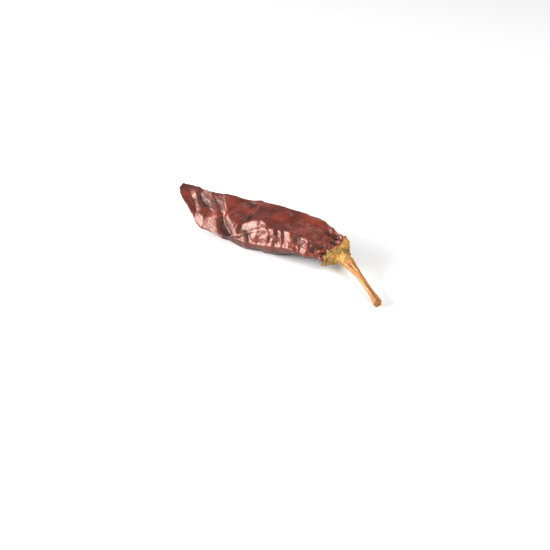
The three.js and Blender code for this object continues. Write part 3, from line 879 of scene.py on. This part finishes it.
@dataclass(frozen=True)
class Calyx:
    """The dry lobed cap over the pod's shoulder, with the neck that the stem leaves from."""

    skin: PodSkin
    line: StemLine
    gap: float = 0.35
    wall: float = 1.1
    lobes: int = 5
    lobe_reach: float = 0.9
    lobe_turn: float = 0.6
    ragged: float = 0.7
    torn: tuple[Noise, Noise] = (Noise(1.0, 3.4, 61.0), Noise(0.6, 1.3, 62.0))
    torn_radius: float = 10.0
    thin_rim: float = 0.55
    vein_height: float = 0.55
    vein_turn: float = 2.2
    lumps: tuple[Noise, ...] = (
        Noise(0.6, 5.0, 71.0), Noise(0.5, 2.4, 72.0), Noise(0.14, 1.1, 73.0))
    neck_heights: tuple[float, ...] = (0.8, 2.4, 4.2, 6.2, 7.6, 8.0)
    neck_radii: tuple[float, ...] = (5.0, 4.1, 3.6, 3.3, 3.15, 2.7)
    neck_flute: float = 0.09
    stem_ribs: int = 5
    columns: int = 200
    inner_rows: int = 14
    outer_rows: int = 84

    def rim_sections(self, side: Array) -> Array:
        """Section numbers of the rim: five lobes as a cosine round the pod, torn by noise."""
        angle = side / 4.0 * TURN
        circle = np.stack([np.cos(angle), np.sin(angle), np.zeros_like(angle)], axis=-1)
        torn = sum(noise.at(circle * self.torn_radius) for noise in self.torn)
        reach = self.lobe_reach * np.cos(self.lobes * angle + self.lobe_turn) + self.ragged * torn
        return self.skin.form.section_of(self.skin.rim - reach)

    def control_rings(self) -> tuple[Array, Array]:
        """Rings that the calyx is drawn through.

        Returns:
            The inner rings from the pole to the rim, and the outer ones from the rim over
            the shoulder to the end of the neck.
        """
        side = np.arange(self.columns) / self.columns * 4.0
        form = self.skin.form
        rim = self.rim_sections(side)
        share = np.linspace(0.0, 1.0, 8)[:, None]
        u = mix(rim[None, :], float(form.last), share)
        points, normals, _ = self.skin.surface(u, np.broadcast_to(side, u.shape))
        inner = (points + normals * self.gap)[::-1]
        wall = self.wall * mix(self.thin_rim, 1.0, smooth(0.0, 0.3, share))[..., None]
        outer = (points + normals * (self.gap + wall))[:-1]
        return inner, np.concatenate([outer, self.neck(outer[-1], points[-1].mean(axis=0))])

    def neck(self, below: Array, start: Array) -> Array:
        """Rings along a quadratic curve from the shoulder to the stem's root. Each point
        keeps the bearing that it has on the ring below.

        Args:
            below: the last ring over the shoulder.
            start: the middle of the shoulder.

        Returns:
            The neck's rings.
        """
        ends, ways, _ = self.line.at(np.array([0.0]))
        end, reach = ends[0], float(np.linalg.norm(ends[0] - start))
        control = end - ways[0] * reach * 0.5
        axis = self.skin.form.end_axis()
        up = unit(np.array([0.0, 0.0, 1.0]) - axis * axis[2])
        across = np.cross(axis, up)
        arms = below - below.mean(axis=0)
        bearing = np.arctan2(arms @ across, arms @ up)
        rings = []
        for k, height in enumerate(self.neck_heights):
            t = height / self.neck_heights[-1]
            centre = (1 - t)**2 * start + 2 * (1 - t) * t * control + t**2 * end
            forward = unit(2 * (1 - t) * (control - start) + 2 * t * (end - control))
            ring_up = unit(up - forward * (up @ forward))
            ring_side = np.cross(forward, ring_up)
            flute = 1 + self.neck_flute * np.cos(self.stem_ribs * bearing) * k / len(self.neck_radii)
            radius = (self.neck_radii[k] * flute)[:, None]
            around = np.cos(bearing)[:, None] * ring_up + np.sin(bearing)[:, None] * ring_side
            rings.append(centre + radius * around)
        return np.array(rings)

    def build(self) -> tuple[Array, Array]:
        """Draws smooth curves through the control rings and roughens the outside.

        Returns:
            The rings, and for each point its distance from the rim along the calyx.
        """
        inner, outer = self.control_rings()
        net = extended(outer)
        u = np.linspace(0.0, len(outer) - 1.0, self.outer_rows)
        i = clamp(np.floor(u), 0, len(outer) - 2).astype(int)
        weights = curve_weights(u - i)
        skin = sum(weights[k][:, None, None] * net[i + k] for k in range(4))
        normals = grid_normals(skin)
        share = (u / (len(outer) - 1.0))[:, None]
        skin = skin + normals * self.roughness(skin, share)[..., None]
        rows = np.linspace(0, len(inner) - 1, self.inner_rows).round().astype(int)
        rings = np.concatenate([inner[np.unique(rows)], skin])
        marks = np.concatenate([np.zeros(len(np.unique(rows))), u / (len(outer) - 1.0)])
        return rings, np.repeat(marks[:, None], self.columns, axis=1)

    def roughness(self, points: Array, share: Array) -> Array:
        """Lumps, veins and pits in mm: the veins are cubed cosines round the cap that run out
        from the neck, and the rest is noise."""
        angle = np.arange(self.columns) / self.columns * TURN
        body = window(share, -0.2, 0.95, 0.3)
        veins = np.maximum(np.cos(self.lobes * angle + self.lobe_turn + self.vein_turn), 0.0)**3
        lumps = sum(noise.at(points) for noise in self.lumps)
        return body * (self.vein_height * veins[None, :] * smooth(0.0, 0.3, share) + lumps)


@dataclass(frozen=True)
class Stem:
    """The ribbed dry stem, wide at its root and at its cut end."""

    line: StemLine
    radii: tuple[float, ...] = (3.2, 2.5, 2.1, 1.9, 1.8, 1.8, 1.85, 1.95, 2.3, 2.45)
    ribs: int = 5
    rib_height: float = 0.08
    twist: float = 0.9
    rows: int = 200
    columns: int = 90
    rim_rows: int = 5
    sunk: float = 0.09
    fibre_radius: float = 2.6
    fibre_length: float = 9.0
    fibres: tuple[Noise, Noise] = (Noise(0.1, 0.7, 81.0), Noise(0.06, 0.35, 82.0))
    dents: Noise = Noise(0.12, 2.2, 83.0)
    dent_length: float = 1.8
    end_shrink: float = 0.8
    end_sink: float = 0.7

    def radius_at(self, share: Array) -> Array:
        """The plain radius: smooth steps between the radii."""
        place = clamp(share) * (len(self.radii) - 1)
        i = clamp(np.floor(place), 0, len(self.radii) - 2).astype(int)
        radii = np.array(self.radii)
        return mix(radii[i], radii[i + 1], smooth(0.0, 1.0, place - i))

    def build(self) -> tuple[Array, Array]:
        """A tube along the line with ribs, fibres and a rounded, sunken cut end. Its root
        runs straight on into the calyx's neck.

        Returns:
            The rings, and for each point its place in mm along the stem's grain.
        """
        share = np.linspace(-self.sunk, 1.0, self.rows)
        centre, forward, length = self.line.at(clamp(share))
        centre = centre + forward * (np.minimum(share, 0.0) * length)[:, None]
        up, across = ring_axes(forward)
        angle = np.arange(self.columns) / self.columns * TURN
        turned = angle[None, :] + self.twist * share[:, None]
        around = np.cos(angle)[None, :, None] * up[:, None] + np.sin(angle)[None, :, None] * across[:, None]
        fibre = np.stack(np.broadcast_arrays(
            share[:, None] * length / self.fibre_length,
            self.fibre_radius * np.cos(turned),
            self.fibre_radius * np.sin(turned),
        ), axis=-1)
        radius = self.radius_at(share)[:, None] * (1.0 + self.rib_height * np.cos(self.ribs * turned))
        radius = radius + sum(noise.at(fibre) for noise in self.fibres)
        shorter = np.array([self.fibre_length / self.dent_length, 1.0, 1.0])
        radius = radius + self.dents.at(fibre * shorter)
        skin = centre[:, None] + radius[..., None] * around
        grain = np.stack(np.broadcast_arrays(
            share[:, None] * length,
            radius * np.cos(turned),
            radius * np.sin(turned),
        ), axis=-1)
        middle = skin[-1].mean(axis=0)
        ends, end_grain = [], []
        for k in range(1, self.rim_rows + 1):
            part = k / self.rim_rows
            shrink = 1.0 - self.end_shrink * part**1.4
            sink = -self.end_sink * part**1.5
            ends.append(middle + (skin[-1] - middle) * shrink + forward[-1] * sink)
            end_grain.append(grain[-1] * np.array([1.0, shrink, shrink]))
        rings = np.concatenate([skin, np.array(ends)])
        return rings, np.concatenate([grain, np.array(end_grain)])


def closed_mesh(name: str, rings: Array, poles: tuple[Array, Array]) -> bpy.types.Object:
    """Makes one closed piece from rings of equal length and a point at either end.

    Args:
        name: the piece's name.
        rings: points in mm, by ring and by place round it.
        poles: the points in mm that close the first and the last ring.

    Returns:
        The new object, at the origin, with smooth faces that point outwards.
    """
    count, sides = rings.shape[:2]
    points = np.concatenate([poles[0][None], rings.reshape(-1, 3), poles[1][None]]) * MM
    here = np.arange(sides)
    after = (here + 1) % sides
    starts = 1 + np.arange(count - 1)[:, None] * sides
    quads = np.stack([starts + here, starts + after, starts + after + sides, starts + here + sides], axis=-1)
    last = 1 + (count - 1) * sides
    first_fan = np.column_stack([np.zeros(sides, int), 1 + after, 1 + here])
    last_fan = np.column_stack([last + here, last + after, np.full(sides, len(points) - 1)])
    corners = np.concatenate([quads.reshape(-1), first_fan.reshape(-1), last_fan.reshape(-1)])
    sizes = np.concatenate([np.full(quads.size // 4, 4), np.full(2 * sides, 3)])
    mesh = bpy.data.meshes.new(name)
    mesh.vertices.add(len(points))
    mesh.vertices.foreach_set("co", points.reshape(-1).astype(np.float32))
    mesh.loops.add(len(corners))
    mesh.loops.foreach_set("vertex_index", corners.astype(np.int32))
    mesh.polygons.add(len(sizes))
    mesh.polygons.foreach_set("loop_start", np.concatenate([[0], np.cumsum(sizes)[:-1]]).astype(np.int32))
    mesh.polygons.foreach_set("use_smooth", np.ones(len(sizes), bool))
    mesh.update(calc_edges=True)
    mesh.validate()
    piece = bpy.data.objects.new(name, mesh)
    bpy.context.scene.collection.objects.link(piece)
    return piece


def add_marks(piece: bpy.types.Object, name: str, values: Array) -> None:
    """Puts a number or a vector for each ring point into the piece's mesh. Poles take the
    mean of the ring beside them.

    Args:
        piece: a piece made by closed_mesh.
        name: the attribute's name.
        values: by ring and by place round it, with a last axis of 3 for vectors.
    """
    vector = values.ndim == 3
    flat = values.reshape(-1, 3) if vector else values.reshape(-1, 1)
    poles = [values[row].mean(axis=0).reshape(1, -1) for row in (0, -1)]
    whole = np.concatenate([poles[0], flat, poles[1]])
    kind = "FLOAT_VECTOR" if vector else "FLOAT"
    attribute = piece.data.attributes.new(name, kind, "POINT")
    attribute.data.foreach_set("vector" if vector else "value", whole.reshape(-1).astype(np.float32))


def linear(colour: str) -> tuple[float, float, float, float]:
    """Turns an sRGB hex colour to linear light: c / 12.92 below 0.04045, and otherwise
    ((c + 0.055) / 1.055)^2.4."""
    parts = [int(colour[k:k + 2], 16) / 255.0 for k in (1, 3, 5)]
    light = [c / 12.92 if c <= 0.04045 else ((c + 0.055) / 1.055)**2.4 for c in parts]
    return (light[0], light[1], light[2], 1.0)


def add_node(tree: bpy.types.NodeTree, kind: str, settings: dict[str, Any] | None = None,
             inputs: dict[str | int, Any] | None = None) -> bpy.types.Node:
    """Adds a node, sets its properties, and sets or links its inputs.

    Args:
        tree: the material's nodes.
        kind: the node's type.
        settings: properties by name. A list of stops fills a colour ramp.
        inputs: values or other nodes' outputs by socket name or number.

    Returns:
        The new node.
    """
    node = tree.nodes.new(kind)
    for key, value in (settings or {}).items():
        if key == "stops":
            ramp = node.color_ramp.elements
            while len(ramp) < len(value):
                ramp.new(1.0)
            for stop, (place, colour) in zip(ramp, value):
                stop.position = place
                stop.color = colour
        else:
            setattr(node, key, value)
    for key, value in (inputs or {}).items():
        if isinstance(value, bpy.types.NodeSocket):
            tree.links.new(value, node.inputs[key])
        else:
            node.inputs[key].default_value = value
    return node


@dataclass(frozen=True)
class Pattern:
    """A texture with lumps or cells of this size in mm. It is noise unless kind says other."""

    size: float
    inputs: dict[str, float] = field(default_factory=dict)
    kind: str = "ShaderNodeTexNoise"
    settings: dict[str, str] = field(default_factory=dict)
    output: str = "Fac"


@dataclass(frozen=True)
class Layer:
    """A colour laid over those below it. start and end each give a value of the source and
    the colour's share there, and between them the share runs in a straight line."""

    source: str
    start: Pair
    end: Pair
    colour: str


@dataclass(frozen=True)
class Bump:
    """A bump of this strength and depth in mm, read from a source."""

    source: str
    strength: float
    depth: float


class Recipe:
    """One material's nodes, and by name the sources that its colours and bumps read."""

    def __init__(self, name: str, marks: list[str], output: str = "Fac") -> None:
        """Starts a material that reads attributes of the piece's own mesh.

        Args:
            name: the material's name.
            marks: the attributes.
            output: Fac for numbers, and Vector for vectors.
        """
        self.material = bpy.data.materials.new(name)
        self.material.use_nodes = True
        self.tree = self.material.node_tree
        self.tree.nodes.clear()
        self.sources: dict[str, bpy.types.NodeSocket] = {}
        for mark in marks:
            node = add_node(self.tree, "ShaderNodeAttribute", {"attribute_name": mark})
            self.sources[mark] = node.outputs[output]

    def add_patterns(self, patterns: dict[str, Pattern], where: bpy.types.NodeSocket | None = None) -> None:
        """Adds textures at a scale of 1 / size.

        Args:
            patterns: the textures by name.
            where: coordinates in mm. Without them it is the Object coordinates, in metres.
        """
        one_mm = 1.0
        if where is None:
            where = add_node(self.tree, "ShaderNodeTexCoord").outputs["Object"]
            one_mm = MM
        for name, pattern in patterns.items():
            inputs = {"Vector": where, "Scale": 1.0 / (pattern.size * one_mm), **pattern.inputs}
            texture = add_node(self.tree, pattern.kind, pattern.settings, inputs)
            self.sources[name] = texture.outputs[pattern.output]

    def lay_colours(self, ground: str, stops: tuple[tuple[float, str], ...],
                    layers: tuple[Layer, ...]) -> bpy.types.NodeSocket:
        """Runs the ground colours along one source, and lays the layers over them in turn.

        Args:
            ground: the source of the ground colours.
            stops: values of that source, and the colours there.
            layers: the colours over the ground, from the lowest to the highest.

        Returns:
            The colour.
        """
        shades = [(place, linear(colour)) for place, colour in stops]
        base = add_node(self.tree, "ShaderNodeValToRGB", {"stops": shades}, {"Fac": self.sources[ground]})
        colour = base.outputs["Color"]
        for layer in layers:
            shares = [(place, (share, share, share, 1.0)) for place, share in (layer.start, layer.end)]
            amount = add_node(self.tree, "ShaderNodeValToRGB", {"stops": shares}, {
                "Fac": self.sources[layer.source]})
            over = add_node(self.tree, "ShaderNodeMix", {"data_type": "RGBA"}, {
                "Factor": amount.outputs["Color"], 6: colour, 7: linear(layer.colour)})
            colour = over.outputs[2]
        return colour

    def finish(self, bumps: tuple[Bump, ...], inputs: dict[str, Any]) -> bpy.types.Material:
        """Adds the bumps on each other, and the shader over them.

        Args:
            bumps: the bumps, with the finest first.
            inputs: the shader's inputs apart from its normal.

        Returns:
            The material.
        """
        under: dict[str, bpy.types.NodeSocket] = {}
        for bump in bumps:
            node = add_node(self.tree, "ShaderNodeBump", inputs={
                "Strength": bump.strength, "Distance": bump.depth * MM,
                "Height": self.sources[bump.source], **under})
            under = {"Normal": node.outputs["Normal"]}
        shader = add_node(self.tree, "ShaderNodeBsdfPrincipled", inputs={**inputs, **under})
        add_node(self.tree, "ShaderNodeOutputMaterial", inputs={"Surface": shader.outputs["BSDF"]})
        return self.material


@dataclass(frozen=True)
class DriedSkin:
    """Leathery dried fruit wall: dark brown-red, with a thin natural wax that gives it one
    smooth gloss. It is redder at the shoulder, and in its shade spots it is duller and
    darkened near black with painted shade."""

    # The colour of the painted shade in the folds, on the sole and in the shade spots.
    shade_brown: str = "#240A08"
    dark: str = "#390F0A"
    body: str = "#5E1C13"
    warm: str = "#742A19"
    # The shoulder's redder tone, which is also laid on the crests as a painted highlight.
    shoulder_red_and_highlight: str = "#8C311D"
    wax_tint: str = "#FFDCD0"
    patch_mm: float = 15.0
    mottle_mm: float = 4.0
    fleck_mm: float = 1.7
    leather_mm: float = 0.9
    pore_mm: float = 0.35
    roughness: Pair = (0.42, 0.26)
    shade_spot_roughness: float = 0.2

    def build(self) -> bpy.types.Material:
        """Makes the material. Patches of 15 mm run through three browns. Crests are lightened
        with a painted highlight, mottles of 4 mm are darker, and the folds, the sole and the
        shade spots are darkened with painted shade. The skin is rougher between the mottles
        and in the shade spots."""
        recipe = Recipe("dried_leathery_skin", [mark.value for mark in Relief])
        recipe.add_patterns({
            "patch": Pattern(self.patch_mm, {"Detail": 3.0, "Distortion": 0.8}),
            "mottle": Pattern(self.mottle_mm, {"Detail": 5.0, "Roughness": 0.65}),
            "fleck": Pattern(self.fleck_mm, {"Detail": 3.0}),
            "leather": Pattern(self.leather_mm, {}, "ShaderNodeTexVoronoi",
                               {"feature": "DISTANCE_TO_EDGE"}, "Distance"),
            "pore": Pattern(self.pore_mm, {"Detail": 2.0}),
        })
        browns = ((0.3, self.dark), (0.48, self.body), (0.66, self.warm))
        colour = recipe.lay_colours("patch", browns, (
            Layer("shoulder", (0.0, 0.0), (1.0, 0.45), self.shoulder_red_and_highlight),
            Layer("mottle", (0.34, 0.55), (0.62, 0.0), self.dark),
            # Painted shade in the folds.
            Layer("fold", (0.2, 0.8), (0.48, 0.0), self.shade_brown),
            # Painted highlight on the crests.
            Layer("crest", (0.55, 0.0), (0.95, 0.3), self.shoulder_red_and_highlight),
            # Painted shade on the underside.
            Layer("sole", (0.0, 0.0), (1.0, 0.8), self.shade_brown),
            # Painted shade in the shade spots.
            Layer("stain", (0.0, 0.0), (1.0, 0.85), self.shade_brown),
        ))
        gloss = add_node(recipe.tree, "ShaderNodeMapRange", inputs={
            "Value": recipe.sources["mottle"], "From Min": 0.3, "From Max": 0.7,
            "To Min": self.roughness[0], "To Max": self.roughness[1]})
        rough = add_node(recipe.tree, "ShaderNodeMath", {"operation": "MULTIPLY_ADD"}, {
            0: recipe.sources["stain"], 1: self.shade_spot_roughness, 2: gloss.outputs["Result"]})
        bumps = (Bump("pore", 0.15, 0.05), Bump("leather", 0.2, 0.08), Bump("fleck", 0.6, 0.34))
        return recipe.finish(bumps, {
            "Base Color": colour, "Roughness": rough.outputs[0], "IOR": 1.65,
            "Specular Tint": linear(self.wax_tint), "Subsurface Weight": 0.06,
            "Subsurface Radius": (1.0, 0.25, 0.12), "Subsurface Scale": 1.5 * MM})


@dataclass(frozen=True)
class DryCalyxTissue:
    """Papery, rough calyx tissue, dried from green to straw. It is matt, olive in patches,
    pale on its lumps, brown where it is torn, and orange towards the stem."""

    straw: str = "#A67A36"
    pale: str = "#CFA75F"
    olive: str = "#6E551E"
    brown: str = "#3E2411"
    orange: str = "#A0682B"
    patch_mm: float = 5.0
    lump_mm: float = 1.6
    fleck_mm: float = 0.7

    def build(self) -> bpy.types.Material:
        """Makes the material. Noise of 5 mm turns olive to straw, noise of 1.6 mm picks out
        pale lumps, and flecks of 0.7 mm and the rim are brown."""
        recipe = Recipe("dry_calyx_tissue", ["from_rim"])
        recipe.add_patterns({
            "patch": Pattern(self.patch_mm, {"Detail": 4.0, "Distortion": 0.5}),
            "lump": Pattern(self.lump_mm, {"Detail": 5.0, "Roughness": 0.6}),
            "fleck": Pattern(self.fleck_mm, {"Detail": 3.0}),
        })
        colour = recipe.lay_colours("patch", ((0.36, self.olive), (0.58, self.straw)), (
            Layer("lump", (0.5, 0.0), (0.7, 0.8), self.pale),
            Layer("fleck", (0.3, 0.6), (0.4, 0.0), self.brown),
            Layer("from_rim", (0.0, 0.7), (0.07, 0.0), self.brown),
            Layer("from_rim", (0.7, 0.0), (0.98, 0.85), self.orange),
        ))
        return recipe.finish((Bump("lump", 0.7, 0.3), Bump("fleck", 0.4, 0.12)), {
            "Base Color": colour, "Roughness": 0.72, "IOR": 1.45, "Subsurface Weight": 0.05,
            "Subsurface Radius": (1.0, 0.6, 0.3), "Subsurface Scale": 0.8 * MM})


@dataclass(frozen=True)
class StrawStem:
    """Dried woody stem: straw-orange fibres along it, darker in blotches, with a low sheen."""

    straw: str = "#A0682B"
    pale: str = "#C9984F"
    orange: str = "#6B3C15"
    fibre_mm: float = 0.7
    fibre_run_mm: float = 22.0
    blotch_mm: float = 6.0

    def build(self) -> bpy.types.Material:
        """Makes the material on the stem's own grain, where the first number runs along it:
        fibres are noise of 0.7 mm drawn out to 22 mm, and blotches are noise of 6 mm."""
        recipe = Recipe("straw_stem_fibre", ["grain"], "Vector")
        grain = recipe.sources["grain"]
        across = 1.0 / self.fibre_mm
        drawn = add_node(recipe.tree, "ShaderNodeMapping", inputs={
            "Vector": grain, "Scale": (1.0 / self.fibre_run_mm, across, across)})
        fibre = Pattern(1.0, {"Detail": 4.0, "Roughness": 0.6})
        recipe.add_patterns({"fibre": fibre}, drawn.outputs["Vector"])
        recipe.add_patterns({"blotch": Pattern(self.blotch_mm, {"Detail": 3.0})}, grain)
        straws = ((0.32, self.orange), (0.5, self.straw), (0.66, self.pale))
        colour = recipe.lay_colours("fibre", straws, (Layer("blotch", (0.3, 0.5), (0.46, 0.0), self.orange),))
        return recipe.finish((Bump("fibre", 0.7, 0.25),), {
            "Base Color": colour, "Roughness": 0.48, "IOR": 1.5, "Subsurface Weight": 0.06,
            "Subsurface Radius": (1.0, 0.6, 0.3), "Subsurface Scale": 1.0 * MM})


def direction(azimuth: float, elevation: float) -> Vector:
    """The way from the pepper to a lamp or the camera. Azimuth 0 is at -Y and 90 at +X."""
    a, e = math.radians(azimuth), math.radians(elevation)
    return Vector((math.sin(a) * math.cos(e), -math.cos(a) * math.cos(e), math.sin(e)))


@dataclass(frozen=True)
class Softbox:
    """A flat lamp that faces a point. Its sizes are in metres."""

    name: str
    azimuth: float
    elevation: float
    distance: float
    width: float
    height: float
    radiance: float
    colour: str = "#FFFDFB"
    target: Point = (0.0, -0.01, 0.01)

    def build(self) -> None:
        """Makes the lamp. Its power is pi * area * radiance, so that its brightness doesn't
        change with its size."""
        data = bpy.data.lights.new(self.name, "AREA")
        data.shape = "RECTANGLE"
        data.size = self.width
        data.size_y = self.height
        data.energy = math.pi * self.width * self.height * self.radiance
        data.color = linear(self.colour)[:3]
        lamp = bpy.data.objects.new(self.name, data)
        bpy.context.scene.collection.objects.link(lamp)
        back = direction(self.azimuth, self.elevation)
        lamp.location = Vector(self.target) + back * self.distance
        lamp.rotation_euler = (-back).to_track_quat("-Z", "Y").to_euler()


@dataclass(frozen=True)
class Studio:
    """The table, the light and the camera."""

    azimuth: float = 30.0
    elevation: float = 30.0
    lens: float = 100.0
    sensor: float = 36.0
    image_px: int = 550
    px_per_mm: float = 1.6
    origin_px: Pair = (262.0, 241.5)
    floor_size: float = 6.0
    floor_colour: str = "#F3F4F5"
    world_colour: str = "#FFFFFF"
    world_strength: float = 0.5
    lamps: tuple[Softbox, ...] = (
        Softbox("left_softbox", -52.0, 16.0, 0.6, 0.6, 0.38, 15.5),
        Softbox("right_softbox", 85.0, 42.0, 1.0, 0.7, 0.5, 5.0),
        Softbox("rear_softbox", -168.0, 58.0, 1.0, 0.32, 0.2, 5.0),
    )

    def camera(self) -> None:
        """Puts the camera where the frame's origin falls on origin_px at px_per_mm."""
        back = direction(self.azimuth, self.elevation)
        right = direction(self.azimuth + 90.0, 0.0)
        up = back.cross(right)
        scale = MM / self.px_per_mm
        half = self.image_px / 2.0
        distance = self.lens / self.sensor * self.image_px * scale
        shift = right * (self.origin_px[0] - half) * scale - up * (self.origin_px[1] - half) * scale
        data = bpy.data.cameras.new("camera")
        data.lens = self.lens
        data.sensor_width = self.sensor
        data.clip_start = 0.01
        camera = bpy.data.objects.new("camera", data)
        bpy.context.scene.collection.objects.link(camera)
        turn = Matrix((right, up, back)).transposed().to_4x4()
        camera.matrix_world = Matrix.Translation(back * distance - shift) @ turn
        bpy.context.scene.camera = camera

    def floor(self) -> None:
        """Lays a plain pale table top under the pepper."""
        half = self.floor_size / 2.0
        mesh = bpy.data.meshes.new("table_top")
        corners = [(-half, -half, 0.0), (half, -half, 0.0), (half, half, 0.0), (-half, half, 0.0)]
        mesh.from_pydata(corners, [], [(0, 1, 2, 3)])
        material = bpy.data.materials.new("matt_white_paint")
        material.use_nodes = True
        shader = material.node_tree.nodes["Principled BSDF"]
        shader.inputs["Base Color"].default_value = linear(self.floor_colour)
        shader.inputs["Roughness"].default_value = 0.9
        shader.inputs["Specular IOR Level"].default_value = 0.2
        mesh.materials.append(material)
        top = bpy.data.objects.new("table_top", mesh)
        bpy.context.scene.collection.objects.link(top)

    def build(self) -> None:
        """Makes the camera, the table, the lamps and the even light all round."""
        self.camera()
        self.floor()
        for lamp in self.lamps:
            lamp.build()
        world = bpy.data.worlds.new("studio")
        world.use_nodes = True
        background = world.node_tree.nodes["Background"]
        background.inputs["Color"].default_value = linear(self.world_colour)
        background.inputs["Strength"].default_value = self.world_strength
        bpy.context.scene.world = world
        bpy.context.scene.view_settings.view_transform = "Standard"


@dataclass(frozen=True)
class Chilli:
    """The whole pepper: pod, calyx and stem, each in the place of its frame node."""

    skin: PodSkin = PodSkin()
    line: StemLine = StemLine()

    def attach(self, piece: bpy.types.Object, node: str, slot: Slot,
               finish: Callable[[], bpy.types.Material]) -> None:
        """Dresses a piece and hangs it on the frame.

        Args:
            piece: the finished mesh.
            node: the frame node that it stands for.
            slot: not used.
            finish: makes its material.
        """
        piece.data.materials.append(finish())
        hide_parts(node)
        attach(piece, "root")
        LOG.info("%s: %d faces", piece.name, len(piece.data.polygons))

    def pod(self) -> None:
        """Builds the pod."""
        rings, marks = self.skin.build()
        tip = rings[0].mean(axis=0) - np.array([self.skin.tip_point, 0.0, 0.0])
        shoulder = rings[-1].mean(axis=0) + self.skin.form.end_axis() * self.skin.shoulder_bulge
        piece = closed_mesh("pod_skin", rings, (tip, shoulder))
        for name, values in marks.items():
            add_marks(piece, name.value, values)
        self.attach(piece, "pod", Slot.SKIN, DriedSkin().build)

    def calyx(self) -> None:
        """Builds the calyx."""
        shape = Calyx(self.skin, self.line)
        rings, share = shape.build()
        inner = rings[0].mean(axis=0) + self.skin.form.end_axis() * self.skin.shoulder_bulge
        piece = closed_mesh("calyx_cap", rings, (inner, rings[-1].mean(axis=0)))
        add_marks(piece, "from_rim", share)
        self.attach(piece, "calyx", Slot.CALYX, DryCalyxTissue().build)

    def stem(self) -> None:
        """Builds the stem."""
        rings, grain = Stem(self.line).build()
        piece = closed_mesh("stem_stalk", rings, (rings[0].mean(axis=0), rings[-1].mean(axis=0)))
        add_marks(piece, "grain", grain)
        self.attach(piece, "stem", Slot.STEM, StrawStem().build)

    def build(self) -> None:
        """Builds the three pieces."""
        self.pod()
        self.calyx()
        self.stem()


def main() -> None:
    """Builds the studio and the pepper."""
    logging.basicConfig(level=logging.INFO)
    Studio().build()
    Chilli().build()


if __name__ == "__main__":
    main()
